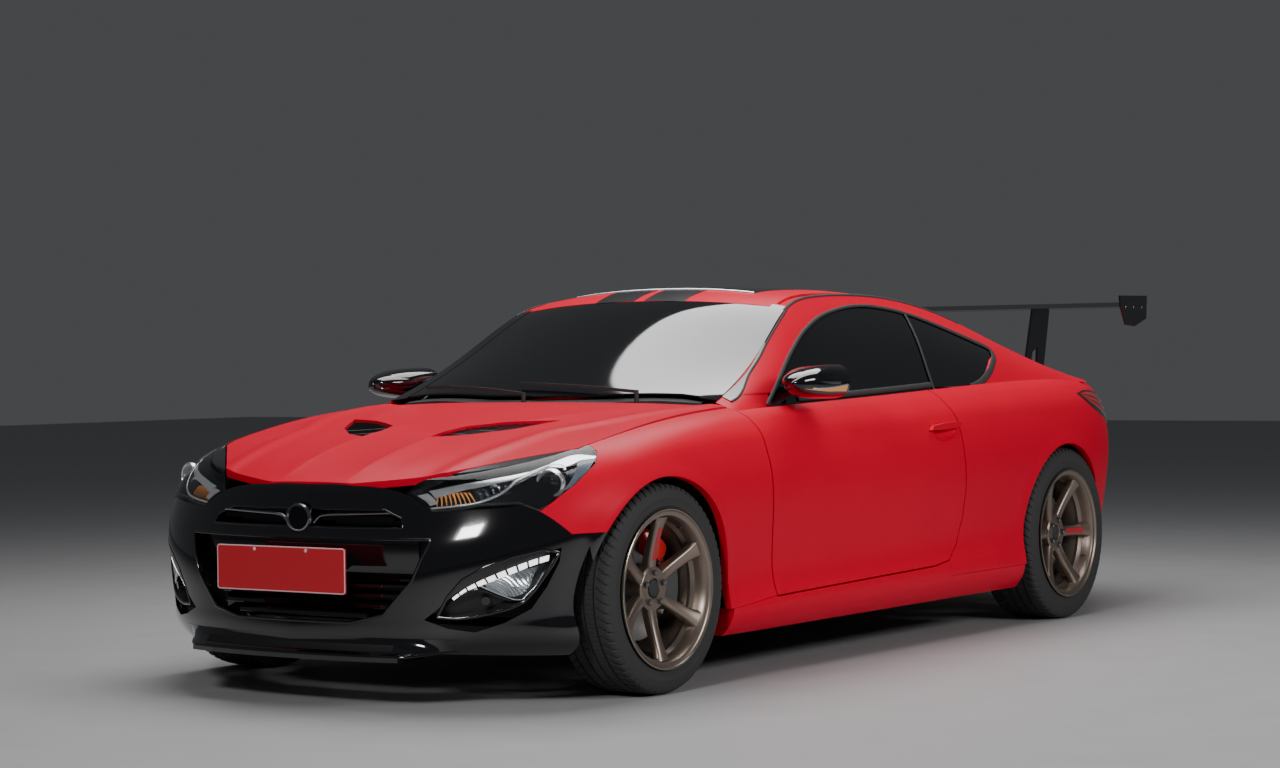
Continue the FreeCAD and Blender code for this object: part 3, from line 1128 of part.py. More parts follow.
WIPERS = (((GLASS_BASE - 50, 400), (GLASS_BASE - 84, -120)), ((GLASS_BASE - 22, -60), (GLASS_BASE - 112, -560)))
wiper_parts = [cover]
for pivot, tip in WIPERS:
    along = [(between(pivot[0], tip[0], share), between(pivot[1], tip[1], share)) for share in steps(0, 1, 5)]
    edge = [V(*on_glass(*p, 22)) for p in along] + [V(*on_glass(*p, 11)) for p in reversed(along)]
    blade = Part.Face(Part.makePolygon(edge + edge[:1])).extrude(V(9, 0, 0))
    wiper_parts += [blade, rod(8, on_glass(*pivot, -20), on_glass(*pivot, 22))]
node("wipers", joined(wiper_parts))

wing_nose = as_size(0) + wing_tail + size("wing_chord")
top = size("wing_height")
wing = new_body("wing_form")
pad(wing, "blade", "xz", [
    (wing_nose, top + 6), (wing_nose - 60, top + 26), (wing_nose - 150, top + 28), (wing_tail, top + 10),
    (wing_tail, top + 4), (wing_nose - 150, top + 8), (wing_nose - 60, top),
], size("wing_half_span") * 2 - size("wing_sheet"), size("wing_sheet") * 0.5 - size("wing_half_span"))
for name, low in (("plate_right", size("wing_half_span") - size("wing_sheet")), ("plate_left", -size("wing_half_span"))):
    pad(wing, name, "xz", [
        (wing_nose + 6, top + 54), (wing_tail, top + 56), (wing_tail + 8, top - 42), (wing_tail + 130, top - 76),
        (wing_nose - 50, top - 70), (wing_nose, top + 8),
    ], size("wing_sheet"), low)
for name, low in (("stand_right", size("stand_half_gap") - size("stand_sheet") * 0.5),
                  ("stand_left", -size("stand_half_gap") - size("stand_sheet") * 0.5)):
    pad(wing, name, "xz", [
        (wing_nose - 30, top + 12), (wing_nose - 190, top + 12), (wing_nose - 120, 968), (wing_nose - 60, 968),
        (wing_nose - 70, 1080), (wing_nose - 20, 1060), (wing_nose + 10, 968), (wing_nose + 60, 968),
    ], size("stand_sheet"), low)
doc.recompute()
node("rear_wing", biggest(wing.Shape.cut(trunk_lid)))

doc.recompute()

for item in doc.Objects:
    broken = [state for state in item.State if state in ("Invalid", "Error")]
    if broken:
        raise RuntimeError("%s is %s" % (item.Label, broken))
os.makedirs("parts", exist_ok=True)
for piece in nodes:
    shape = piece.Shape
    if shape.isNull() or not shape.isValid() or not shape.Solids:
        raise RuntimeError("%s has no valid shape" % piece.Label)
    print("%-20s solids %d, faces %d, volume %.1f l" % (piece.Label, len(shape.Solids), len(shape.Faces),
                                                      shape.Volume / 1e6))
    shape.exportStep(os.path.join("parts", piece.Label + ".step"))
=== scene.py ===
"""A red coupe with a black nose, six-spoke bronze wheels and a tall rear wing, dressed for its picture."""

from __future__ import annotations

import logging
import math
from dataclasses import dataclass
from enum import Enum
from typing import Callable, Sequence

import bpy
import numpy as np
from mathutils import Matrix, Vector

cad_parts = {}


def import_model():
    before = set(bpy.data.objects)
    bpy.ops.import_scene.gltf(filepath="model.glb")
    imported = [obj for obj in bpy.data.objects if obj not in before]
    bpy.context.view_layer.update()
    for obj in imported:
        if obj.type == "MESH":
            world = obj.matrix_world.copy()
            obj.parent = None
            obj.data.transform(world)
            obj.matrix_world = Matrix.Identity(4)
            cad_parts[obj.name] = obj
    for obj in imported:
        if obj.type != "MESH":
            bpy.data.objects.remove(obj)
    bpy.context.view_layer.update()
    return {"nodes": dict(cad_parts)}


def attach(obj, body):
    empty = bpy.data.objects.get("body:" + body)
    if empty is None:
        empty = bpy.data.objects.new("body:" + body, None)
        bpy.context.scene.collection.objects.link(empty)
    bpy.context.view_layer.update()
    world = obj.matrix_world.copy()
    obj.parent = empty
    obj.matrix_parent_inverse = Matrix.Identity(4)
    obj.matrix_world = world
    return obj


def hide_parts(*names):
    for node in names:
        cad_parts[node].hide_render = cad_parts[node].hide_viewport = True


log = logging.getLogger("coupe")

Array = np.ndarray
Point = tuple[float, float, float]
Shape = tuple[Array, Array]
Line = Sequence[Sequence[float]]


# Finishes

COAT_ROUGHNESS = 0.04
DRIFT_SCALE = 5.0
DRIFT_DETAIL = 6.0
GLOSS_LOW = 0.88
GLOSS_HIGH = 1.14
BUMP_DEPTH = 0.0005


@dataclass(frozen=True)
class Finish:
    """One real finish, as the numbers of a principled shader."""

    name: str
    colour: Point
    roughness: float = 0.5
    metallic: float = 0.0
    coat: float = 0.0
    transmission: float = 0.0
    ior: float = 1.5
    glow: float = 0.0
    specular: float = 0.5
    sheen_tint: Point = (1.0, 1.0, 1.0)
    mottle: float = 0.05
    grain: float = 0.01
    grain_scale: float = 900.0

    def material(self) -> bpy.types.Material:
        """Makes the material once, and returns the same one afterwards."""
        found = bpy.data.materials.get(self.name)
        if found is not None:
            return found
        made = bpy.data.materials.new(self.name)
        made.use_nodes = True
        made.diffuse_color = (*self.colour, 1.0)
        shader = made.node_tree.nodes["Principled BSDF"]
        values = {
            "Base Color": (*self.colour, 1.0), "Roughness": self.roughness, "Metallic": self.metallic,
            "Coat Weight": self.coat, "Coat Roughness": COAT_ROUGHNESS, "Transmission Weight": self.transmission,
            "IOR": self.ior, "Specular IOR Level": self.specular,
            "Specular Tint": (*self.sheen_tint, 1.0),
        }
        if self.glow:
            values |= {"Emission Color": (*self.colour, 1.0), "Emission Strength": self.glow}
        for name, value in values.items():
            shader.inputs[name].default_value = value
        self._add_detail(made.node_tree, shader)
        return made

    def _add_detail(self, tree: bpy.types.NodeTree, shader: bpy.types.Node) -> None:
        """Adds slow drifts of tone and gloss and a fine bump, all read from object coordinates."""
        place = tree.nodes.new("ShaderNodeTexCoord")
        drift = tree.nodes.new("ShaderNodeTexNoise")
        drift.inputs["Scale"].default_value = DRIFT_SCALE
        drift.inputs["Detail"].default_value = DRIFT_DETAIL
        tree.links.new(place.outputs["Object"], drift.inputs["Vector"])
        tone = tree.nodes.new("ShaderNodeMix")
        tone.data_type = "RGBA"
        tone.inputs["A"].default_value = (*(c * (1 - self.mottle) for c in self.colour), 1.0)
        tone.inputs["B"].default_value = (*(min(c * (1 + self.mottle), 1.0) for c in self.colour), 1.0)
        tree.links.new(drift.outputs["Fac"], tone.inputs["Factor"])
        tree.links.new(tone.outputs["Result"], shader.inputs["Base Color"])
        gloss = tree.nodes.new("ShaderNodeMapRange")
        gloss.inputs["To Min"].default_value = self.roughness * GLOSS_LOW
        gloss.inputs["To Max"].default_value = min(self.roughness * GLOSS_HIGH, 1.0)
        tree.links.new(drift.outputs["Fac"], gloss.inputs["Value"])
        tree.links.new(gloss.outputs["Result"], shader.inputs["Roughness"])
        noise = tree.nodes.new("ShaderNodeTexNoise")
        bump = tree.nodes.new("ShaderNodeBump")
        noise.inputs["Scale"].default_value = self.grain_scale
        bump.inputs["Strength"].default_value = self.grain
        bump.inputs["Distance"].default_value = BUMP_DEPTH
        tree.links.new(place.outputs["Object"], noise.inputs["Vector"])
        tree.links.new(noise.outputs["Fac"], bump.inputs["Height"])
        tree.links.new(bump.outputs["Normal"], shader.inputs["Normal"])


RED = Finish("satin_red", (0.66, 0.0, 0.026), roughness=0.36, specular=0.13, sheen_tint=(1.0, 0.3, 0.38), grain=0.012,
             grain_scale=420.0)
BLACK = Finish("gloss_black", (0.003, 0.003, 0.0045), roughness=0.1, coat=1.0)
PLASTIC = Finish("black_plastic", (0.012, 0.012, 0.013), roughness=0.45)
TINT = Finish("dark_glass", (0.006, 0.007, 0.008), roughness=0.03, coat=0.6)
RUBBER = Finish("tyre_rubber", (0.013, 0.013, 0.013), roughness=0.6, grain=0.25)
BRONZE = Finish("bronze_alloy", (0.062, 0.052, 0.038), roughness=0.36, metallic=0.75)
LIP = Finish("bright_lip", (0.42, 0.38, 0.3), roughness=0.22, metallic=1.0)
CALIPER = Finish("red_caliper", (0.55, 0.01, 0.012), roughness=0.3, coat=0.4)
LAMP_DARK = Finish("lamp_bowl", (0.006, 0.007, 0.009), roughness=0.22, coat=0.5)
FACET = Finish("lamp_facets", (0.3, 0.32, 0.35), roughness=0.12, metallic=1.0, glow=0.03)
FACET_LIGHT = Finish("fog_facets", (0.7, 0.73, 0.75), roughness=0.14, metallic=1.0, glow=0.08)
PROJECTOR = Finish("projector_glass", (0.02, 0.022, 0.028), roughness=0.03, coat=1.0)
MARKER = Finish("grey_marker", (0.16, 0.19, 0.23), roughness=0.2, coat=0.6)
DARK_CHROME = Finish("smoked_chrome", (0.05, 0.052, 0.058), roughness=0.16, metallic=1.0)
WING_CHROME = Finish("wing_chrome", (0.3, 0.31, 0.34), roughness=0.14, metallic=1.0)
PLATE_EDGE = Finish("plate_edge", (0.8, 0.45, 0.47), roughness=0.4)
# Painted light: the number plates glow, though no lamp lights them, so that they stand out bright red
GLOWING_PLATE_RED = Finish("plate_red", (0.9, 0.0, 0.014), roughness=0.35, specular=0.2, glow=0.3)
NET = Finish("black_net", (0.01, 0.01, 0.011), roughness=0.4)
TAIL_DARK = Finish("tail_dark_lens", (0.02, 0.002, 0.003), roughness=0.06, coat=1.0)
# Painted shade: a dark red line that stands for the shadow inside a panel's gap
GAP_SHADE = Finish("painted_gap_shade", (0.05, 0.001, 0.002), roughness=0.6)
DECAL = Finish("red_spoke", (0.42, 0.02, 0.03), roughness=0.4)
STEEL = Finish("disc_steel", (0.3, 0.3, 0.31), roughness=0.28, metallic=1.0)
CAST = Finish("cast_parts", (0.05, 0.05, 0.052), roughness=0.5, metallic=0.6)
CLOTH = Finish("black_cloth", (0.012, 0.012, 0.013), roughness=0.85, grain=0.3)
# Its glow is painted highlight on the mirror glass and the sunroof's edge, which are no lamps; the other silver parts
# belong to the lamps
SILVER = Finish("lamp_silver", (0.82, 0.83, 0.85), roughness=0.2, metallic=1.0, glow=0.09)
AMBER = Finish("amber_reflector", (0.9, 0.36, 0.1), roughness=0.25, metallic=0.3, glow=0.12)
CLEAR = Finish("clear_lens", (0.9, 0.92, 0.94), roughness=0.02, transmission=1.0, ior=1.25)
LED = Finish("led_white", (1.0, 1.0, 1.0), roughness=0.3, glow=1.6)
# The glow suits the tail lamps; on the rear reflectors, which are no lamps, it is painted light
TAIL_RED = Finish("tail_lens", (0.5, 0.004, 0.006), roughness=0.08, coat=1.0, glow=0.15)
STRIPE = Finish("black_stripe", (0.008, 0.008, 0.009), roughness=0.3)
MESH_DARK = Finish("vent_mesh", (0.01, 0.01, 0.01), roughness=0.5, metallic=0.3)


# Mesh helpers on whole arrays


def weld(points: Array, faces: Array, reach: float = 2e-6) -> Shape:
    """Joins points that share a place, and drops faces that shrink to a line.

    Args:
        points: Corners, (n, 3).
        faces: Triangles as corner numbers, (m, 3).
        reach: Size of the cell in which points are one.

    Returns:
        The joined points and the renumbered faces.
    """
    keys = np.round(points / reach).astype(np.int64)
    _, first, inverse = np.unique(keys, axis=0, return_index=True, return_inverse=True)
    joined = inverse.reshape(-1)[faces]
    whole = (joined[:, 0] != joined[:, 1]) & (joined[:, 1] != joined[:, 2]) & (joined[:, 2] != joined[:, 0])
    return points[first], joined[whole]


def triangles(piece: bpy.types.Object) -> Shape:
    """Reads a mesh object as an array of points and an array of triangles."""
    mesh = piece.data
    mesh.calc_loop_triangles()
    points = np.empty(len(mesh.vertices) * 3)
    faces = np.empty(len(mesh.loop_triangles) * 3, np.int32)
    mesh.vertices.foreach_get("co", points)
    mesh.loop_triangles.foreach_get("vertices", faces)
    return points.reshape(-1, 3), faces.reshape(-1, 3).astype(np.int64)


def mesh_object(name: str, points: Array, faces: Array, finish: Finish,
                normals: Array | None = None, smooth: bool = True) -> bpy.types.Object:
    """Puts points and faces of one corner count into a new mesh object.

    Args:
        name: The piece's name.
        points: Corners, (n, 3), in metres.
        faces: Corner numbers, (m, 3) or (m, 4).
        finish: What the piece is made of.
        normals: A normal for every face corner, (m * corners, 3), or None for the mesh's own.
        smooth: Whether faces shade as one surface.

    Returns:
        The new object, at the origin.
    """
    mesh = bpy.data.meshes.new(name)
    count = faces.shape[1]
    mesh.vertices.add(len(points))
    mesh.vertices.foreach_set("co", np.ascontiguousarray(points, np.float32).reshape(-1))
    mesh.loops.add(faces.size)
    mesh.loops.foreach_set("vertex_index", faces.reshape(-1).astype(np.int32))
    mesh.polygons.add(len(faces))
    mesh.polygons.foreach_set("loop_start", np.arange(0, faces.size, count, dtype=np.int32))
    mesh.polygons.foreach_set("use_smooth", np.full(len(faces), smooth))
    mesh.update(calc_edges=True)
    if normals is not None:
        mesh.normals_split_custom_set(normals.astype(np.float32))
    mesh.materials.append(finish.material())
    piece = bpy.data.objects.new(name, mesh)
    bpy.context.scene.collection.objects.link(piece)
    return piece


def split_edges(points: Array, faces: Array, flags: Array, longest: float,
                passes: int = 9) -> tuple[Array, Array, Array]:
    """Halves every edge of the flagged faces until none is longer than longest.

    Each pass marks the long edges, gives each one point at its middle, and cuts a triangle
    into two, three or four by how many of its edges are marked, so neighbours still meet.

    Args:
        points: Corners, (n, 3), with any further columns to be halved too.
        faces: Triangles, (m, 3).
        flags: Other than 0 where a face is to be fine, (m,).
        longest: Longest edge that is left alone.
        passes: Most rounds of halving.

    Returns:
        The points, faces and flags afterwards.
    """
    for _ in range(passes):
        pairs = np.sort(faces[:, [0, 1, 1, 2, 2, 0]].reshape(-1, 2), axis=1)
        codes = pairs[:, 0] * (len(points) + 1) + pairs[:, 1]
        unique, first, inverse = np.unique(codes, return_index=True, return_inverse=True)
        ends = pairs[first]
        length = np.linalg.norm(points[ends[:, 0], :3] - points[ends[:, 1], :3], axis=1)
        fine = np.zeros(len(unique), bool)
        fine[inverse.reshape(-1)[np.repeat(flags != 0, 3)]] = True
        marked = fine & (length > longest)
        if not marked.any():
            break
        number = np.full(len(unique), -1)
        number[marked] = len(points) + np.arange(marked.sum())
        points = np.vstack([points, points[ends[marked]].mean(axis=1)])
        middle = number[inverse.reshape(-1)].reshape(-1, 3)
        cut = middle >= 0
        total = cut.sum(axis=1)
        # Turn each triangle so that one marked edge comes first, and of two the unmarked comes last
        turn = np.where(total == 1, np.argmax(cut, axis=1), np.where(total == 2, (np.argmin(cut, axis=1) + 1) % 3, 0))
        order = (turn[:, None] + np.arange(3)) % 3
        a, b, c = np.take_along_axis(faces, order, 1).T
        p, q, r = np.take_along_axis(middle, order, 1).T
        parts, marks = [], []
        for amount, cuts in (
                (0, ((a, b, c),)),
                (1, ((a, p, c), (p, b, c))),
                (2, ((p, b, q), (a, p, q), (a, q, c))),
                (3, ((a, p, r), (p, b, q), (r, q, c), (p, q, r)))):
            chosen = total == amount
            for corner in cuts:
                parts.append(np.stack([k[chosen] for k in corner], axis=1))
                marks.append(flags[chosen])
        faces, flags = np.vstack(parts), np.concatenate(marks)
    return points, faces, flags


def unit(vectors: Array) -> Array:
    """Vectors at length one."""
    return vectors / np.maximum(np.linalg.norm(vectors, axis=-1, keepdims=True), 1e-12)


# The body's surfaces, from the same stations as the solids, in millimetres

FRONT_AXLE = 1540.0
REAR_AXLE = -1280.0
TAIL = -2270.0
HALF = 926.0
NOSE = 750.0
NOSE_CENTRE = FRONT_AXLE
TAIL_CENTRE = REAR_AXLE - 100
HOOD_LIP = FRONT_AXLE + NOSE - 100
FRONT_HUB = 331.0
REAR_HUB = 339.0
MM = 0.001


def ease(stations: Sequence[tuple[float, float]], x: Array | float) -> Array:
    """Heights of a shape-preserving cubic through stations that run up in x.

    The slope at a station is the harmonic mean of its two neighbours' slopes, or nothing
    where they differ in sign, and each span is the Hermite cubic between its ends.
    """
    table = np.asarray(stations, float)
    xs, ys = table[:, 0], table[:, 1]
    slope = np.diff(ys) / np.diff(xs)
    product = slope[:-1] * slope[1:]
    total = slope[:-1] + slope[1:]
    inner = np.where(product > 0, 2 * product / np.where(total == 0, 1, total), 0.0)
    tangent = np.concatenate([slope[:1], inner, slope[-1:]])
    x = np.clip(np.asarray(x, float), xs[0], xs[-1])
    k = np.clip(np.searchsorted(xs, x) - 1, 0, len(xs) - 2)
    span = xs[k + 1] - xs[k]
    t = (x - xs[k]) / span
    return ((2 * t ** 3 - 3 * t ** 2 + 1) * ys[k] + (t ** 3 - 2 * t ** 2 + t) * tangent[k] * span
            + (3 * t ** 2 - 2 * t ** 3) * ys[k + 1] + (t ** 3 - t ** 2) * tangent[k + 1] * span)


def between(a: float, b: float, share: float) -> float:
    """The value a share of the way from a to b."""
    return a + (b - a) * share


# level, inset from the widest point, nose behind its foremost point, tail ahead of its rearmost point
SECTION = (
    (0.00, 58, 10, 78), (0.08, -6, -4, 54), (0.19, 34, 2, 34), (0.35, 25, 2, 8), (0.52, 8, 8, 0),
    (0.64, 0, 22, 6), (0.75, 4, 48, 22), (0.86, 27, 70, 36), (0.93, 62, 82, 46), (0.98, 110, 90, 62),
    (1.00, 168, 100, 84),
)
LEVELS = [row[0] for row in SECTION]
ROUND = ((0.0, 2.15), (0.25, 2.4), (0.45, 2.5), (1.0, 2.5))
UNDERSIDE = ((TAIL, 200), (TAIL + 300, 180), (REAR_AXLE, 150), (FRONT_AXLE + 200, 150), (HOOD_LIP, 172))
SHOULDER = (
    (TAIL, 905), (TAIL + 90, 935), (TAIL + 400, 955), (REAR_AXLE, 962),
    (between(REAR_AXLE, FRONT_AXLE, 0.18), 950), (between(REAR_AXLE, FRONT_AXLE, 0.34), 930),
    (between(REAR_AXLE, FRONT_AXLE, 0.56), 908), (FRONT_AXLE - 760, 894), (FRONT_AXLE - 500, 885),
    (FRONT_AXLE - 200, 858), (FRONT_AXLE + 150, 797), (FRONT_AXLE + 400, 739), (FRONT_AXLE + 560, 699),
    (HOOD_LIP, 674),
)
HOOD_CENTRE = (
    (FRONT_AXLE - 700, 913), (FRONT_AXLE - 480, 905), (FRONT_AXLE - 200, 876), (FRONT_AXLE + 100, 828),
    (FRONT_AXLE + 400, 766), (FRONT_AXLE + 560, 716), (HOOD_LIP, 676),
)
DECK_CENTRE = ((TAIL + 84, 960), (TAIL + 160, 966), (TAIL + 400, 972), (TAIL + 700, 984))
GLASS_BASE = FRONT_AXLE - 520
GLASS_TOP = FRONT_AXLE - 1240
BACK_TOP = REAR_AXLE + 470
BACK_BASE = TAIL + 540
ROOF_CENTRE = (
    (BACK_BASE - 60, 962), (BACK_BASE, 986), (between(BACK_BASE, BACK_TOP, 0.62), 1150), (BACK_TOP, 1254),
    (between(BACK_TOP, GLASS_TOP, 0.28), 1309), (between(BACK_TOP, GLASS_TOP, 0.56), 1324),
    (between(BACK_TOP, GLASS_TOP, 0.86), 1316), (GLASS_TOP, 1288), (between(GLASS_TOP, GLASS_BASE, 0.5), 1110),
    (GLASS_BASE, 905), (GLASS_BASE + 60, 872),
)
GUTTER_WIDTH = (
    (BACK_BASE - 60, 700), (BACK_BASE + 100, 668), (BACK_TOP - 250, 618), (BACK_TOP + 50, 584),
    (between(BACK_TOP, GLASS_TOP, 0.5), 568), (GLASS_TOP - 150, 572), (GLASS_TOP, 592),
    (between(GLASS_TOP, GLASS_BASE, 0.3), 636), (between(GLASS_TOP, GLASS_BASE, 0.6), 678), (GLASS_BASE + 60, 724),
)
GUTTER_HEIGHT = (
    (BACK_BASE - 60, 950), (BACK_BASE + 100, 996), (BACK_TOP - 250, 1138), (BACK_TOP + 50, 1238),
    (between(BACK_TOP, GLASS_TOP, 0.5), 1282), (GLASS_TOP - 150, 1272), (GLASS_TOP, 1232),
    (between(GLASS_TOP, GLASS_BASE, 0.3), 1112), (between(GLASS_TOP, GLASS_BASE, 0.6), 982), (GLASS_BASE + 60, 862),
)


def side_field(turn: Array, level: Array) -> Array:
    """The lower body: half a superellipse round the nose, a straight side, and half one round the tail."""
    section = np.asarray(SECTION, float)
    half = HALF - ease(section[:, [0, 1]], level)
    nose = NOSE - ease(section[:, [0, 2]], level)
    rear = TAIL_CENTRE - TAIL - ease(section[:, [0, 3]], level)
    power = 2 / ease(ROUND, level)
    ahead, behind = turn < 1, turn > 2
    angle = np.where(ahead, turn, np.where(behind, 3 - turn, 1)) * math.pi / 2
    reach = np.maximum(np.cos(angle), 0.0) ** power
    side = np.maximum(np.sin(angle), 0.0) ** power
    middle = NOSE_CENTRE + (TAIL_CENTRE - NOSE_CENTRE) * (turn - 1)
    x = np.where(ahead, NOSE_CENTRE + nose * reach, np.where(behind, TAIL_CENTRE - rear * reach, middle))
    y = np.where(ahead | behind, half * side, half)
    along = np.where(ahead, NOSE_CENTRE + (HOOD_LIP - NOSE_CENTRE) * reach,
                     np.where(behind, TAIL_CENTRE - (TAIL_CENTRE - TAIL) * reach, middle))
    top, foot = ease(SHOULDER, along), ease(UNDERSIDE, along)
    return np.stack([x, y, foot + (top - foot) * level], axis=-1)


def upper_edge(x: Array) -> Array:
    """Half width of the shoulder line at a station."""
    half = HALF - SECTION[-1][1]
    power = ROUND[-1][1]
    ahead = np.clip((x - NOSE_CENTRE) / (HOOD_LIP - NOSE_CENTRE), 0, 1)
    behind = np.clip((TAIL_CENTRE - x) / (TAIL_CENTRE - TAIL - SECTION[-1][3]), 0, 1)
    return half * (1 - np.maximum(ahead, behind) ** power) ** (1 / power)


def crowned(x: Array, across: Array, low: Array, high: Array, width: Array, power: float) -> Array:
    """A field that falls from high on the centreline to low at the edge, as across to a power."""
    z = low + (high - low) * (1 - np.abs(across) ** power)
    return np.stack([x, across * width, z], axis=-1)


def hood_field(x: Array, across: Array) -> Array:
    """The hood, crowned between the shoulders."""
    return crowned(x, across, ease(SHOULDER, x), ease(HOOD_CENTRE, x), upper_edge(x), 2.4)


def deck_field(x: Array, across: Array) -> Array:
    """The boot's top, crowned between the shoulders."""
    return crowned(x, across, ease(SHOULDER, x), ease(DECK_CENTRE, x), upper_edge(x), 2.6)


def roof_field(x: Array, across: Array) -> Array:
    """Windshield, roof and rear glass, crowned between the gutters."""
    return crowned(x, across, ease(GUTTER_HEIGHT, x), ease(ROOF_CENTRE, x), ease(GUTTER_WIDTH, x), 2.3)


def cabin_field(x: Array, rise: Array) -> Array:
    """Side glass and pillars, from below the shoulder to the gutter."""
    low_y, low_z = HALF - 138, ease(SHOULDER, x) - 24
    high_y, high_z = ease(GUTTER_WIDTH, x), ease(GUTTER_HEIGHT, x)
    y = low_y + (high_y - low_y) * (0.55 * rise + 0.45 * rise ** 2.6)
    return np.stack([x, y, low_z + (high_z - low_z) * rise], axis=-1)


class Sheet:
    """A clamped bicubic B-spline drawn by a net of control points, in metres."""

    STEP = 2e-3
    GUESSES = 4
    ROUNDS = 5

    def __init__(self, field: Callable[[Array, Array], Array], us: Sequence[float], vs: Sequence[float],
                 relief: Callable[[Array], Array] | None = None) -> None:
        """Draws the net.

        Args:
            field: Place of a control point, in millimetres, from its two stations.
            us: Stations along the sheet.
            vs: Stations across it.
            relief: Height of creases and dents over the sheet at given places, or None.
        """
        grid = np.meshgrid(np.asarray(us, float), np.asarray(vs, float), indexing="ij")
        self.net = field(*grid) * MM
        self.limits = np.array([len(us) - 3.0, len(vs) - 3.0])
        self.relief = relief
        self.side = 1.0
        centre = self.place(np.array([self.limits[0] / 2]), np.array([self.limits[1] / 2]), plain=True)[1][0]
        self.side = 1.0 if centre[1] + centre[2] * 2 > 0 else -1.0

    @staticmethod
    def _basis(count: int, t: Array) -> Array:
        """Shares of the control points at each parameter, by the Cox and de Boor rule."""
        knots = np.concatenate([[0] * 3, np.arange(count - 2), [count - 3] * 3]).astype(float)
        t = np.clip(t, 0, count - 3 - 1e-9)[:, None]
        share = ((t >= knots[:-1]) & (t < knots[1:])).astype(float)
        for degree in (1, 2, 3):
            left = knots[degree:-1] - knots[:-degree - 1]
            right = knots[degree + 1:] - knots[1:-degree]
            a = np.where(left > 0, (t - knots[:-degree - 1]) / np.where(left > 0, left, 1), 0) * share[:, :-1]
            b = np.where(right > 0, (knots[degree + 1:] - t) / np.where(right > 0, right, 1), 0) * share[:, 1:]
            share = a + b
        return share

    def at(self, u: Array, v: Array) -> Array:
        """Points of the bare sheet: the net weighed by both bases."""
        rows = self._basis(self.net.shape[0], u) @ self.net.reshape(self.net.shape[0], -1)
        rows = rows.reshape(len(u), self.net.shape[1], 3)
        return (rows * self._basis(self.net.shape[1], v)[:, :, None]).sum(axis=1)

    def _beside(self, u: Array, v: Array) -> tuple[list[Array], Array, Array]:
        """Points a step before and after in u, then in v, and the two distances between them."""
        u0, u1 = np.clip(u - self.STEP, 0, self.limits[0]), np.clip(u + self.STEP, 0, self.limits[0])
        v0, v1 = np.clip(v - self.STEP, 0, self.limits[1]), np.clip(v + self.STEP, 0, self.limits[1])
        sides = [self.at(u0, v), self.at(u1, v), self.at(u, v0), self.at(u, v1)]
        return sides, (u1 - u0)[:, None], (v1 - v0)[:, None]

    def place(self, u: Array, v: Array, plain: bool = False) -> tuple[Array, Array]:
        """Points and unit normals of the sheet, with its relief unless plain.

        The slopes are central differences, and the relief's own slopes are added to them
        along the bare normal.
        """
        sides, du, dv = self._beside(u, v)
        along, across = (sides[1] - sides[0]) / du, (sides[3] - sides[2]) / dv
        normal = unit(np.cross(along, across)) * self.side
        points = self.at(u, v)
        if plain or self.relief is None:
            return points, normal
        h = [self.relief(part)[:, None] for part in sides]
        along, across = along + (h[1] - h[0]) / du * normal, across + (h[3] - h[2]) / dv * normal
        return points + normal * self.relief(points)[:, None], unit(np.cross(along, across)) * self.side

    def find(self, points: Array) -> tuple[Array, Array, Array]:
        """The parameters nearest to points, and how far off the bare sheet they are.

        A grid over the sheet gives the first guess, and a few Gauss-Newton steps the rest.
        """
        nu, nv = (int(k * self.GUESSES) + 1 for k in self.limits)
        us, vs = np.meshgrid(np.linspace(0, self.limits[0], nu), np.linspace(0, self.limits[1], nv), indexing="ij")
        us, vs = us.reshape(-1), vs.reshape(-1)
        grid = self.at(us, vs)
        square = (grid ** 2).sum(axis=1)
        nearest = np.concatenate([np.argmin(square - 2 * part @ grid.T, axis=1)
                                  for part in np.array_split(points, max(1, len(points) // 2000))])
        u, v = us[nearest], vs[nearest]
        for _ in range(self.ROUNDS):
            sides, du, dv = self._beside(u, v)
            along, across = (sides[1] - sides[0]) / du, (sides[3] - sides[2]) / dv
            off = points - self.at(u, v)
            a, b, c = (along ** 2).sum(1), (along * across).sum(1), (across ** 2).sum(1)
            p, q = (along * off).sum(1), (across * off).sum(1)
            scale = np.maximum(a * c - b * b, 1e-14)
            u = np.clip(u + np.clip((c * p - b * q) / scale, -0.5, 0.5), 0, self.limits[0])
            v = np.clip(v + np.clip((a * q - b * p) / scale, -0.5, 0.5), 0, self.limits[1])
        return u, v, np.linalg.norm(points - self.at(u, v), axis=1)


# Shapes on whole arrays


def lattice(rows: int, columns: int, around: bool = False) -> Array:
    """Triangles of a grid of points, numbered row by row, that may close around its columns."""
    i, j = np.meshgrid(np.arange(rows - 1), np.arange(columns if around else columns - 1), indexing="ij")
    i, j = i.reshape(-1), j.reshape(-1)
    k = (j + 1) % columns
    a, b, c, d = i * columns + j, (i + 1) * columns + j, (i + 1) * columns + k, i * columns + k
    return np.concatenate([np.stack([a, b, c], 1), np.stack([a, c, d], 1)])


def outward(points: Array, faces: Array) -> Array:
    """Triangles of a closed shape, turned round together if they enclose a negative volume."""
    a, b, c = (points[faces[:, k]] - points.mean(axis=0) for k in range(3))
    return faces if (np.cross(a, b) * c).sum() >= 0 else faces[:, ::-1]


def loft(rings: Array) -> Shape:
    """A closed skin through rings of points, (n, m, 3), with a fan over each end."""
    n, m, _ = rings.shape
    points = np.vstack([rings.reshape(-1, 3), rings[0].mean(axis=0), rings[-1].mean(axis=0)])
    j = np.arange(m)
    k = (j + 1) % m
    start = np.stack([np.full(m, n * m), j, k], 1)
    end = np.stack([np.full(m, n * m + 1), (n - 1) * m + k, (n - 1) * m + j], 1)
    faces = np.vstack([lattice(n, m, around=True), start, end])
    return points, outward(points, faces)


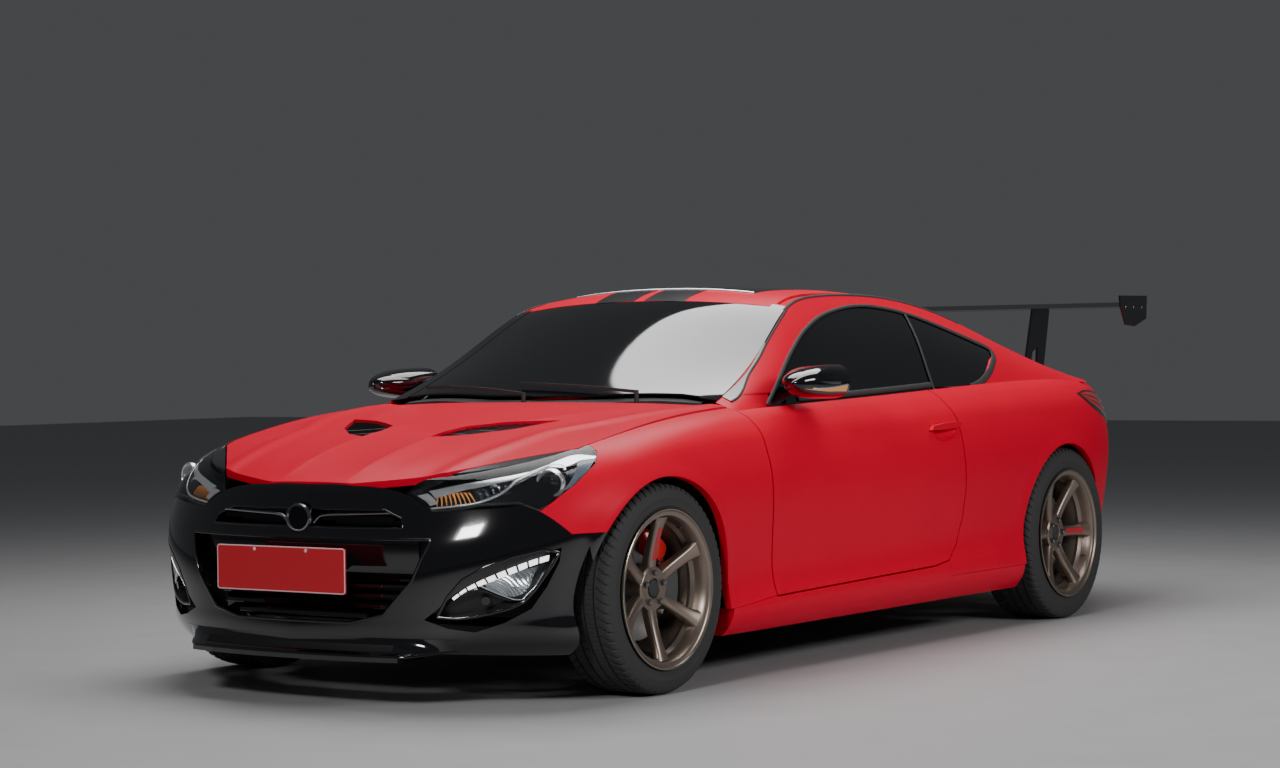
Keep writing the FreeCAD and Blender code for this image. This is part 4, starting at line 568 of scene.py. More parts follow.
def plate(front: Array, back: Array) -> Shape:
    """A closed plate between two grids of one shape, (n, m, 3)."""
    n, m, _ = front.shape
    one = lattice(n, m)
    number = np.arange(n * m).reshape(n, m)
    rim = np.concatenate([number[:, 0], number[-1, 1:], number[-2::-1, -1], number[0, -2:0:-1]])
    turn = np.roll(rim, -1)
    side = np.concatenate([np.stack([rim, turn, rim + n * m], 1), np.stack([turn, turn + n * m, rim + n * m], 1)])
    points = np.vstack([front.reshape(-1, 3), back.reshape(-1, 3)])
    # The rim runs the way that the front's edges do, so the sides take it the other way round
    faces = np.vstack([one, side[:, ::-1] if _runs_with(one, rim) else side, one[:, ::-1] + n * m])
    return points, outward(points, faces)


def _runs_with(faces: Array, rim: Array) -> bool:
    """Whether a triangle has the rim's first edge in the rim's own direction."""
    a, b = rim[0], rim[1]
    return bool(((faces == a) & (np.roll(faces, -1, axis=1) == b)).any())


def revolved(profile: Line, centre: Sequence[float], axis: int = 1, count: int = 48, closed: bool = False) -> Shape:
    """A turned shape: each profile point (radius, distance) swept round a main axis, in millimetres.

    Args:
        profile: Points from one pole or end to the other.
        centre: Where distance and radius are 0.
        axis: Number of the axis that it turns about.
        count: Points round a ring.
        closed: Whether the profile comes back to its start, as a ring's section does.

    Returns:
        Points in metres and triangles.
    """
    table = np.asarray(profile, float)
    if closed:
        table = np.vstack([table, table[:1]])
    angle = np.linspace(0, 2 * math.pi, count, endpoint=False)
    first, second = (axis + 1) % 3, (axis + 2) % 3
    rings = np.zeros((len(table), count, 3))
    rings[:, :, first] = table[:, :1] * np.cos(angle)
    rings[:, :, second] = table[:, :1] * np.sin(angle)
    rings[:, :, axis] = table[:, 1:]
    rings = (rings + np.asarray(centre, float)) * MM
    if closed:
        points = rings[:-1].reshape(-1, 3)
        faces = lattice(len(table), count, around=True) % len(points)
        return points, outward(points, faces)
    return loft(rings)


def sided(shape: Shape, sign: float) -> Shape:
    """The shape as it is, or its mirror image across the middle where sign is negative."""
    points, faces = shape
    return points * [1.0, sign, 1.0], faces if sign > 0 else faces[:, ::-1]


def ruled_grid(first: Array, second: Array, rows: int) -> Array:
    """Rows of points that go from one line to another at even steps."""
    share = np.linspace(0, 1, rows)[:, None, None]
    return first[None] * (1 - share) + second[None] * share


def resampled(line: Line, count: int) -> Array:
    """Points at even steps along a smooth curve through given points.

    The curve is the Catmull-Rom cubic with chord lengths for its parameter.
    """
    table = np.asarray(line, float)
    step = np.concatenate([[0], np.cumsum(np.linalg.norm(np.diff(table, axis=0), axis=1))])
    ghost = np.vstack([2 * table[0] - table[1], table, 2 * table[-1] - table[-2]])
    knots = np.concatenate([[step[0] - (step[1] - step[0])], step, [2 * step[-1] - step[-2]]])
    slopes = (ghost[2:] - ghost[:-2]) / (knots[2:] - knots[:-2])[:, None]
    x = np.linspace(0, step[-1], count)
    k = np.clip(np.searchsorted(step, x, side="right") - 1, 0, len(step) - 2)
    span = (step[k + 1] - step[k])[:, None]
    t = (x - step[k])[:, None] / span
    return ((2 * t ** 3 - 3 * t ** 2 + 1) * table[k] + (t ** 3 - 2 * t ** 2 + t) * slopes[k] * span
            + (3 * t ** 2 - 2 * t ** 3) * table[k + 1] + (t ** 3 - t ** 2) * slopes[k + 1] * span)


def spread(line: Line, count: int) -> Array:
    """Points at even steps along a line of straight runs."""
    table = np.asarray(line, float)
    step = np.concatenate([[0], np.cumsum(np.linalg.norm(np.diff(table, axis=0), axis=1))])
    x = np.linspace(0, step[-1], count)
    return np.stack([np.interp(x, step, table[:, k]) for k in range(table.shape[1])], 1)


def bead(path: Array, normals: Array, width: Array | float, height: Array | float,
         sink: float = 1.0, count: int = 9) -> Shape:
    """A strip of half-round section along a path, in metres, with its flat side sunk a little.

    The section is a point at width/2 * cos(a) across and height * sin(a) up, for a from 0 to pi.
    """
    tangent = unit(np.gradient(path, axis=0))
    across = unit(np.cross(tangent, normals))
    angle = np.linspace(0, math.pi, count)
    wide = np.broadcast_to(np.asarray(width, float), len(path))[:, None, None] * MM / 2
    high = np.broadcast_to(np.asarray(height, float), len(path))[:, None, None] * MM
    rings = (path[:, None] + across[:, None] * np.cos(angle)[None, :, None] * wide
             + normals[:, None] * (np.sin(angle)[None, :, None] * high - sink * MM))
    return loft(rings)


def tube(path: Array, radius: float, count: int) -> Shape:
    """A round bar along a path in metres, with its radius in millimetres."""
    tangent = unit(np.gradient(path, axis=0))
    up = np.where(np.abs(tangent[:, 2:]) > 0.9, [[1.0, 0, 0]], [[0, 0, 1.0]])
    across = unit(np.cross(tangent, up))
    rise = unit(np.cross(across, tangent))
    angle = np.linspace(0, 2 * math.pi, count, endpoint=False)
    size = radius * MM
    return loft(path[:, None] + across[:, None] * np.cos(angle)[None, :, None] * size
                + rise[:, None] * np.sin(angle)[None, :, None] * size)


def superblock(centre: Sequence[float], half: Sequence[float], power: float = 4.0,
               rows: int = 16, columns: int = 32) -> Shape:
    """A rounded block in millimetres: a superellipsoid of one power over its three half sizes."""
    lift = np.linspace(-math.pi / 2, math.pi / 2, rows)[1:-1]
    turn = np.linspace(0, 2 * math.pi, columns, endpoint=False)
    bend = 2 / power

    def swell(value: Array) -> Array:
        """A value at its power, with its sign kept."""
        return np.sign(value) * np.abs(value) ** bend

    ring = np.stack([swell(np.cos(lift))[:, None] * swell(np.cos(turn))[None, :],
                     swell(np.cos(lift))[:, None] * swell(np.sin(turn))[None, :],
                     np.repeat(swell(np.sin(lift))[:, None], columns, 1)], -1)
    return loft((ring * np.asarray(half, float) + np.asarray(centre, float)) * MM)


class Bundle:
    """Shapes gathered into one piece of one finish."""

    def __init__(self, name: str, finish: Finish, body: str = "chassis") -> None:
        """Starts an empty piece.

        Args:
            name: The piece's name.
            finish: What it is made of.
            body: The body that it rides on.
        """
        self.name, self.finish, self.body = name, finish, body
        self.points: list[Array] = []
        self.faces: list[Array] = []
        self.total = 0

    def add(self, shape: Shape, both: bool = False) -> "Bundle":
        """Adds points and triangles, and their mirror image across the middle if both."""
        for sign in ((1.0, -1.0) if both else (1.0,)):
            points, faces = sided(shape, sign)
            self.points.append(points)
            self.faces.append(faces + self.total)
            self.total += len(points)
        return self

    def build(self, *replaced: str, angle: float = 34.0) -> bpy.types.Object:
        """Makes the piece, with edges sharper than an angle kept crisp.

        Args:
            replaced: Nodes of the solids that it stands for.
            angle: The sharpest turn that still shades as one surface, in degrees.

        Returns:
            The piece, riding on its body.
        """
        piece = mesh_object(self.name, np.vstack(self.points), np.vstack(self.faces), self.finish)
        piece.data.set_sharp_from_angle(angle=math.radians(angle))
        if replaced:
            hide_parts(*replaced)
        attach(piece, self.body)
        log.info("%s: %d triangles", self.name, len(piece.data.polygons))
        return piece


# Body panels


@dataclass(frozen=True)
class PanelPlan:
    """How one panel of the solids is made fine: its surfaces, its finish and the largest facet."""

    node: str
    body: str
    sheets: tuple[str, ...]
    finish: Finish
    facet: float = 0.018


class BodySheets:
    """The smooth surfaces of the body, with their creases and dents."""

    def __init__(self) -> None:
        """Draws the nets with the stations that the solids use."""
        turns = [0.0, 0.1, 0.2, 0.3, 0.4, 0.5, 0.6, 0.7, 0.8, 0.9, 1.0, 1.12, 1.28, 1.5, 1.72, 1.88, 2.0,
                 2.12, 2.24, 2.36, 2.48, 2.6, 2.72, 2.86, 3.0]
        roof = [BACK_BASE - 40, BACK_BASE + 60, between(BACK_BASE, BACK_TOP, 0.45), BACK_TOP - 80, BACK_TOP + 60,
                between(BACK_TOP, GLASS_TOP, 0.35), between(BACK_TOP, GLASS_TOP, 0.6), GLASS_TOP - 150,
                GLASS_TOP - 50, GLASS_TOP + 40, GLASS_TOP + 160, between(GLASS_TOP, GLASS_BASE, 0.55),
                GLASS_BASE - 100, GLASS_BASE + 50]
        cabin = [BACK_BASE - 20, BACK_BASE + 120, between(BACK_BASE, BACK_TOP, 0.5), BACK_TOP - 60,
                 between(BACK_TOP, GLASS_TOP, 0.25), between(BACK_TOP, GLASS_TOP, 0.5),
                 between(BACK_TOP, GLASS_TOP, 0.75), GLASS_TOP - 90, GLASS_TOP + 20, GLASS_TOP + 140,
                 between(GLASS_TOP, GLASS_BASE, 0.45), between(GLASS_TOP, GLASS_BASE, 0.7), GLASS_BASE - 70]
        self.sheets = {
            "side": Sheet(side_field, turns, LEVELS, self.side_relief),
            "hood": Sheet(hood_field, np.linspace(FRONT_AXLE - 600, HOOD_LIP - 4, 11), np.linspace(-1, 1, 9),
                          self.hood_relief),
            "deck": Sheet(deck_field, np.linspace(TAIL + 96, BACK_BASE + 20, 6), np.linspace(-1, 1, 7)),
            "roof": Sheet(roof_field, roof, np.linspace(-1, 1, 9)),
            "cabin": Sheet(cabin_field, cabin, np.linspace(0, 1, 6)),
        }

    def on(self, sheet: str, places: Array, lift: Array | float = 0.0) -> Array:
        """Points over a sheet nearest to given places, lifted along its normal.

        Args:
            sheet: The sheet's name.
            places: Places near it, (..., 3), in millimetres.
            lift: Height over the sheet, in millimetres, below it if negative.

        Returns:
            Points in metres, of the same shape.
        """
        flat = np.asarray(places, float).reshape(-1, 3) * MM
        u, v, _ = self.sheets[sheet].find(flat)
        points, normal = self.sheets[sheet].place(u, v)
        height = np.broadcast_to(np.asarray(lift, float), np.shape(places)[:-1]).reshape(-1, 1) * MM
        return (points + normal * height).reshape(np.shape(places))

    def normals(self, sheet: str, places: Array) -> Array:
        """Unit normals of a sheet nearest to given places in millimetres."""
        flat = np.asarray(places, float).reshape(-1, 3) * MM
        u, v, _ = self.sheets[sheet].find(flat)
        return self.sheets[sheet].place(u, v)[1].reshape(np.shape(places))

    def layer(self, sheet: str, places: Array, top: Array | float, foot: Array | float) -> Shape:
        """A closed plate over a sheet, between two heights in millimetres."""
        return plate(self.on(sheet, places, top), self.on(sheet, places, foot))

    def moulding(self, sheet: str, places: Array, width: Array | float, height: float, lift: float = 0.0) -> Shape:
        """A half-round bead over a sheet, along places near it, all in millimetres."""
        return bead(self.on(sheet, places, lift), self.normals(sheet, places), width, height)

    @staticmethod
    def ridge(offset: Array, width: float) -> Array:
        """A smooth hump: one at no offset, falling as a Gaussian of that width."""
        return np.exp(-(offset / width) ** 2)

    @staticmethod
    def fold(offset: Array, height: float, width: float) -> Array:
        """A crease: a straight rise on one side of the line and a soft fall on the other."""
        return height * np.where(offset > 0, np.exp(-offset / width), 1 / (1 + (offset / width) ** 2))

    def side_relief(self, points: Array) -> Array:
        """Flares round the arches, and the sill's crease that sweeps up before the rear wheel."""
        x, y, z = points[:, 0] / MM, points[:, 1], points[:, 2] / MM
        out = np.zeros(len(points))
        for axle, hub, radius in ((FRONT_AXLE, FRONT_HUB, 356), (REAR_AXLE, REAR_HUB, 362)):
            far = np.hypot(x - axle, np.maximum(z - hub, -60)) - radius
            out += 0.0042 * self.ridge(far, 30) * np.clip((z - hub + 120) / 80, 0, 1) * (y > 0.6)
        line = np.interp(x, [REAR_AXLE + 380, REAR_AXLE + 620, FRONT_AXLE - 900, FRONT_AXLE - 520],
                         [352, 300, 262, 236])
        ends = np.clip((x - REAR_AXLE - 340) / 160, 0, 1) * np.clip((FRONT_AXLE - 420 - x) / 120, 0, 1)
        out += self.fold(z - line, 0.006, 46) * ends
        shoulder = np.interp(x, [REAR_AXLE - 300, REAR_AXLE + 300, FRONT_AXLE - 300, FRONT_AXLE + 200],
                             [862, 846, 790, 742])
        ends = np.clip((x - REAR_AXLE + 620) / 500, 0, 1) * np.clip((FRONT_AXLE + 260 - x) / 400, 0, 1)
        return out + 0.0022 * self.ridge(z - shoulder, 34) * ends

    def hood_relief(self, points: Array) -> Array:
        """A sharp fold inside each vent, a broad one outside, and the flat between them."""
        x, y = points[:, 0] / MM - FRONT_AXLE, np.abs(points[:, 1]) / MM
        inner = np.interp(x, [-500, -90, 60, 196, 308, 494, 700], [520, 360, 190, 132, 140, 136, 128])
        outer = np.interp(x, [-500, -88, 83, 276, 366, 460, 660], [700, 601, 513, 491, 473, 461, 430])
        fade = np.clip((x + 420) / 300, 0, 1)
        return (self.fold(inner - y, 0.006, 60) * fade + 0.007 * self.ridge(y - outer, 40)) * \
            np.clip((650 - x) / 120, 0.25, 1)


class BodyPanels:
    """Panels of the body: the solids' own edges, with their outer faces fine and truly smooth."""

    REACH = 0.0011
    MIDDLE_REACH = 0.0044
    FACING = 0.85
    OVER_MIDDLE = 0.02
    ONE_SIDED = ("hood", "deck", "roof")

    def __init__(self, nodes: dict[str, bpy.types.Object], sheets: BodySheets) -> None:
        """Keeps what the panels are made from."""
        self.nodes = nodes
        self.sheets = sheets.sheets

    def surface(self, plan: PanelPlan) -> tuple[Array, Array, Array, Array]:
        """Makes one panel fine and lays its outer faces on the body's surfaces.

        A face is an outer one where its corners and its middle lie on a surface and it faces
        the way that the surface does. Outer faces are halved until they are small, the halves
        take the mean parameters of their ends, and the new corners stand on the surface.

        Args:
            plan: The panel.

        Returns:
            Points, triangles, a normal for every corner, and the surface's number or 0.
        """
        points, faces = weld(*triangles(self.nodes[plan.node]))
        owner, places = self._owners(points, faces, plan)
        wide, faces, owner = split_edges(np.hstack([points, places]), faces, owner, plan.facet)
        points = wide[:, :3]
        corner = points[faces]
        face_normal = unit(np.cross(corner[:, 1] - corner[:, 0], corner[:, 2] - corner[:, 0]))
        normals = np.repeat(face_normal[:, None], 3, axis=1)
        for number, name in enumerate(plan.sheets, 1):
            for side in (1, -1):
                chosen = owner == number * side
                if not chosen.any():
                    continue
                used = np.unique(faces[chosen])
                mirror = np.array([1.0, side, 1.0])
                first = 3 + self._column(number, side)
                spot, normal = self.sheets[name].place(wide[used, first], wide[used, first + 1])
                points[used] = spot * mirror
                lookup = np.zeros(len(points), int)
                lookup[used] = np.arange(len(used))
                normals[chosen] = (normal * mirror)[lookup[faces[chosen]]]
        return points, faces, normals, owner

    def build(self, plan: PanelPlan) -> bpy.types.Object:
        """Makes one panel as a piece that stands for its node.

        Args:
            plan: The panel.

        Returns:
            The finished piece, riding on its body.
        """
        points, faces, normals, _ = self.surface(plan)
        piece = mesh_object(plan.node + "_skin", points, faces, plan.finish, normals.reshape(-1, 3))
        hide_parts(plan.node)
        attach(piece, plan.body)
        log.info("%s: %d triangles", piece.name, len(faces))
        return piece

    @staticmethod
    def _column(number: int, side: int) -> int:
        """Where a surface's two parameters start, of the four that each surface takes."""
        return (number - 1) * 4 + (0 if side == 1 else 2)

    def _owners(self, points: Array, faces: Array, plan: PanelPlan) -> tuple[Array, Array]:
        """The surface that each face lies on, and each point's parameters on every surface.

        The number is negative on the far side and 0 for none. The parameters take two
        columns a side, four a surface.
        """
        owner = np.zeros(len(faces), int)
        places = np.zeros((len(points), 4 * len(plan.sheets)))
        corner = points[faces]
        facing = unit(np.cross(corner[:, 1] - corner[:, 0], corner[:, 2] - corner[:, 0]))
        middle = corner.mean(axis=1)
        for number, name in enumerate(plan.sheets, 1):
            sheet = self.sheets[name]
            for side in ((1,) if name in self.ONE_SIDED else (1, -1)):
                mirror = np.array([1.0, side, 1.0])
                near = owner == 0
                if name not in self.ONE_SIDED:
                    near &= middle[:, 1] * side > -self.OVER_MIDDLE
                if not near.any():
                    continue
                used = np.unique(faces[near])
                u, v, off = sheet.find(points[used] * mirror)
                first = self._column(number, side)
                places[used, first], places[used, first + 1] = u, v
                far = np.full(len(points), 1.0)
                far[used] = off
                close = near & (far[faces].max(axis=1) < self.REACH)
                if not close.any():
                    continue
                u, v, mid_off = sheet.find(middle[close] * mirror)
                flat = (sheet.place(u, v, plain=True)[1] * mirror * facing[close]).sum(axis=1) > self.FACING
                owner[np.flatnonzero(close)[(mid_off < self.MIDDLE_REACH) & flat]] = number * side
        return owner, places


# Wheels


class End(Enum):
    """The two axles."""

    FRONT = "front"
    REAR = "rear"


@dataclass
class Wheel:
    """One road wheel with its tyre, disc and caliper, in millimetres about the wheel's centre."""

    end: End
    side: int
    seat: float = 243.0
    well: float = 211.0
    hub_depth: float = 58.0
    rim_depth: float = 15.0
    spokes: int = 6
    disc: float = 166.0
    tread_blocks: int = 68
    nuts: int = 5
    nut_circle: float = 51.0
    valve_circle: float = 212.0
    rib_edges: tuple[float, ...] = (56.0, 18.0, -18.0, -56.0)

    def __post_init__(self) -> None:
        """Works out where the wheel stands from the axle that it is on."""
        front = self.end is End.FRONT
        self.hub = FRONT_HUB if front else REAR_HUB
        self.half = 108.5 if front else 118.5
        self.tyre_half = 104.5 if front else 114.5
        self.first = math.pi / 2 if front else math.pi
        self.centre = np.array([FRONT_AXLE if front else REAR_AXLE, (800.0 if front else 807.5) * self.side, self.hub])
        self.name = f"{self.end.value}_{'left' if self.side > 0 else 'right'}"
        self.body = "road_wheel_" + self.name

    def set_in(self, shape: Shape) -> Shape:
        """Moves a shape drawn about the origin with its outside towards +Y into its place, in metres."""
        points, faces = sided(shape, self.side)
        return (points + self.centre) * MM, faces

    def turned(self, profile: Line, count: int = 96, closed: bool = False) -> Shape:
        """A turned shape about the wheel's own axis."""
        points, faces = revolved(profile, (0, 0, 0), 1, count, closed)
        return self.set_in((points / MM, faces))

    def off_axis(self, profile: Line, count: int, radius: float, angle: float, depth: float = 0.0) -> Shape:
        """A small turned shape that stands beside the wheel's axis, at a radius and an angle."""
        points, faces = revolved(profile, (0, 0, 0), 1, count)
        return self.set_in((points / MM + [math.cos(angle) * radius, depth, math.sin(angle) * radius], faces))

    def spoke(self, number: int, lift: float = 0.0, inner: float = 44.0, outer: float = 224.0,
              share: float = 1.0) -> Shape:
        """One spoke from the hub to the barrel.

        Its face rises as the square of the way out, from hub_depth to rim_depth below the lip.
        Its width is a parabola, narrowest at the middle, and its section is a flat crown with
        bevelled shoulders over straight flanks.

        Args:
            number: Which spoke, counted from the first.
            lift: How far the whole stands proud, for a painted cover.
            inner: Radius where it starts.
            outer: Radius where it ends.
            share: Width as a share of the whole.

        Returns:
            Points in metres and triangles.
        """
        radius = np.linspace(inner, outer, 15)
        way = (radius - 60) / 164
        face = self.half - self.hub_depth + (self.hub_depth - self.rim_depth) * np.clip(way, 0, 1) ** 1.6 + lift
        width = (40 + 34 * (way - 0.42) ** 2 + 8 * np.clip(way - 0.8, 0, 1) / 0.2) * share
        thick = (32 - 8 * way) if not lift else np.full_like(way, 3.0)
        across = np.array([-0.5, -0.5, -0.42, -0.31, 0.31, 0.42, 0.5, 0.5, 0.3, -0.3])
        drop = np.array([1.0, 0.34, 0.1, 0.0, 0.0, 0.1, 0.34, 1.0, 0.86, 0.86])
        angle = self.first + number * 2 * math.pi / self.spokes
        out = np.array([math.cos(angle), 0, math.sin(angle)])
        beside = np.array([-math.sin(angle), 0, math.cos(angle)])
        rings = (radius[:, None, None] * out + (width[:, None] * across)[:, :, None] * beside
                 + (face[:, None] - thick[:, None] * drop)[:, :, None] * np.array([0, 1.0, 0]))
        return self.set_in(loft(rings))

    def tyre(self) -> Shape:
        """The tyre: a bulged section swept round, less its grooves.

        The section's radius over its width comes from stations. Three grooves run round the
        tread, and a slanted groove crosses each shoulder once a block, where the angle plus a
        share of the distance across, taken modulo one block, is under a quarter. Fine cuts
        cross the ribs between them in the same way.
        """
        w, r, s = self.tyre_half, self.hub, self.seat
        outline = [(s, w - 14), (s + 3, w - 8), (s + 8, w - 6), (s + 16, w - 2.5), (s + 19, w - 0.8),
                   (s + 23, w - 1.4), (s + 40, w + 0.5), (s + 42, w + 1.4), (s + 45, w + 0.6), (s + 62, w - 0.5),
                   (r - 20, w - 3), (r - 12, w - 6), (r - 7, w - 10), (r - 4, w - 15), (r - 2.6, w - 22),
                   (r - 1.6, w - 32), (r - 1.2, w - 40)]
        ribs = [y + step for y in self.rib_edges for step in (5.0, 4.4, -4.4, -5.0)]
        crown = [(r - 1.2 + 1.2 * (1 - abs(y) / w), y) for y in ribs if abs(y) < w - 42]
        section = np.array(outline + crown + [(a, -b) for a, b in outline[::-1]])
        rows, count = len(section), self.tread_blocks * 8
        angle = np.linspace(0, 2 * math.pi, count, endpoint=False)
        radius = np.repeat(section[:, :1], count, 1)
        y = section[:, 1]
        gap = np.abs(np.abs(y)[:, None] - np.abs(self.rib_edges)).min(axis=1) < 4.6
        tread = (section[:, 0] > r - 14) & (np.arange(rows) > 10) & (np.arange(rows) < rows - 11)
        radius -= 6.5 * (gap & tread)[:, None]
        phase = (angle / (2 * math.pi) * self.tread_blocks + np.abs(y)[:, None] * 0.021) % 1.0
        shoulder = (np.abs(y) > 61) & (section[:, 0] > r - 14)
        radius -= 5.0 * shoulder[:, None] * (phase < 0.25)
        middle = (np.abs(y) < 52) & ~gap & tread
        radius -= 3.0 * middle[:, None] * (((phase + 0.4 * np.sign(y)[:, None]) % 1.0) < 0.13)
        points = np.stack([radius * np.cos(angle), np.repeat(y[:, None], count, 1), radius * np.sin(angle)], -1)
        inside = np.array([(s - 1.5, -w + 15), (s - 1.5, w - 15)])
        wall = np.stack([inside[:, :1] * np.cos(angle), np.repeat(inside[:, 1:], count, 1),
                         inside[:, :1] * np.sin(angle)], -1)
        points = np.vstack([points, wall]).reshape(-1, 3)
        faces = lattice(rows + 3, count, around=True) % len(points)
        return self.set_in((points, outward(points, faces)))

    def build(self) -> None:
        """Makes the rim, its bright lip, the painted spoke, nuts, disc, caliper and tyre."""
        h, w = self.half, self.well
        rim = Bundle(f"rim_{self.name}", BRONZE, self.body)
        rim.add(self.turned([
            (252, h + 1), (250.5, h + 2), (247, h + 1.6), (245.5, h - 1), (243, h - 4), (238, h - 5.5), (231, h - 6.5),
            (229, h - 9), (226, h - 16), (221, h - 30), (219, h - 56), (204, h - 84), (201, h - 120), (199, -h + 46),
            (226, -h + 14), (244, -h + 2), (250, -h - 2), (252, -h - 1), (252, -h + 6), (242, -h + 10), (237, -h + 22),
            (w, -h + 44), (w, h - 60), (239, h - 20), (242, h - 9), (251, h - 5)], closed=True))
        for number in range(self.spokes):
            rim.add(self.spoke(number))
        deep = h - self.hub_depth
        rim.add(self.turned([(0, deep - 6), (29, deep - 6), (31, deep - 2), (33, deep + 1), (66, deep + 1.5),
                             (72, deep - 3), (74, deep - 10), (76, deep - 40), (70, deep - 46), (0, deep - 46)]))
        rim.build("wheel_" + self.name)
        lip = Bundle(f"lip_{self.name}", LIP, self.body)
        lip.add(self.turned([(252.3, h - 1), (252.2, h + 1.6), (250.8, h + 2.4), (248.6, h + 2.2), (249, h)],
                            closed=True)).build()
        Bundle(f"painted_spoke_{self.name}", DECAL, self.body).add(
            self.spoke(0, lift=0.5, inner=88, outer=190, share=0.62)).build()
        cap = Bundle(f"hub_cap_{self.name}", PLASTIC, self.body)
        cap.add(self.turned([(0, deep + 3), (18, deep + 2.6), (25, deep + 1), (27, deep - 2), (27, deep - 6),
                             (0, deep - 6)], 40)).build()
        nuts = Bundle(f"nuts_{self.name}", STEEL, self.body)
        nut = [(0, deep + 14), (6, deep + 14), (9.5, deep + 11), (10.5, deep + 1), (12.5, deep), (0, deep)]
        for number in range(self.nuts):
            nuts.add(self.off_axis(nut, 6, self.nut_circle, self.first + number * 2 * math.pi / self.nuts))
        valve = [(0, 5), (2.6, 5), (3.4, 3), (3.6, -12), (0, -12)]
        nuts.add(self.off_axis(valve, 10, self.valve_circle, self.first + 0.5, h - 24))
        nuts.build(angle=20)
        back = h - 118
        disc = Bundle(f"brake_disc_{self.name}", STEEL, self.body)
        disc.add(self.turned([(0, back + 26), (70, back + 26), (76, back + 20), (78, back), (self.disc, back),
                              (self.disc, back - 9), (80, back - 9), (0, back - 9)], 72))
        disc.add(self.turned([(90, back - 17), (self.disc, back - 17), (self.disc, back - 26), (90, back - 26)],
                             72, True)).build()
        self.caliper(back).build()
        tyre = Bundle(f"tread_{self.name}", RUBBER, self.body)
        tyre.add(self.tyre()).build("tyre_" + self.name, angle=28)

    def caliper(self, back: float) -> Bundle:
        """The caliper: a rounded section swept over part of the disc's edge, on the knuckle or the axle."""
        front = self.end is End.FRONT
        body = f"knuckle_{'left' if self.side > 0 else 'right'}" if front else "chassis"
        middle = math.radians(118 if front else 50)
        made = Bundle(f"caliper_{self.name}", CALIPER, body)
        angle = np.linspace(middle - 0.42, middle + 0.42, 15)
        ends = np.clip(1 - np.abs(np.linspace(-1, 1, 15)) ** 6, 0.0, 1) * 0.25 + 0.75
        section = np.array([(104, 12), (112, 30), (150, 34), (178, 26), (188, 6), (188, -30), (178, -52), (150, -58),
                            (112, -54), (104, -40)])
        radius = 146 + (section[:, 0] - 146) * ends[:, None]
        depth = back - 13 + (section[:, 1] + 12) * ends[:, None]
        rings = np.stack([radius * np.cos(angle)[:, None], depth, radius * np.sin(angle)[:, None]], -1)
        return made.add(self.set_in(loft(rings)))


# Nose: lamps, fog pods, slot and mouth


@dataclass
class OnSide:
    """Shapes drawn over the body's side.

    A line is a list of (turn, level). The turn is 0 at the middle of the nose, 1 at the front
    axle, 2 where the tail starts to turn in and 3 at its middle. The level is 0 at the sill and
    1 at the shoulder. Lifts and thicknesses are in millimetres over the body's surface.
    """

    sheets: BodySheets
    THICK = 1.2

    def ruled(self, one: Line, two: Line, rows: int, columns: int, lift: Array | float,
              thick: float | None = None) -> Shape:
        """A thin closed plate between two lines.

        Args:
            one: The line of its first row.
            two: The line of its last row.
            rows: Points from one line to the other.
            columns: Points along each line.
            lift: Height of its outer face, as a number or as a grid that spreads over the rows.
            thick: Its thickness towards the body's inside, or None for the class's own.

        Returns:
            Points and triangles.
        """
        table = ruled_grid(resampled(one, columns), resampled(two, columns), rows)
        thick = self.THICK if thick is None else thick
        return self.sheets.layer("side", side_field(table[..., 0], table[..., 1]), lift, np.asarray(lift) - thick)

    def strip(self, path: Array, width: Array | float, height: float, lift: float = 0.0) -> Shape:
        """A half-round bead along points of (turn, level)."""
        return self.sheets.moulding("side", side_field(path[:, 0], path[:, 1]), width, height, lift)


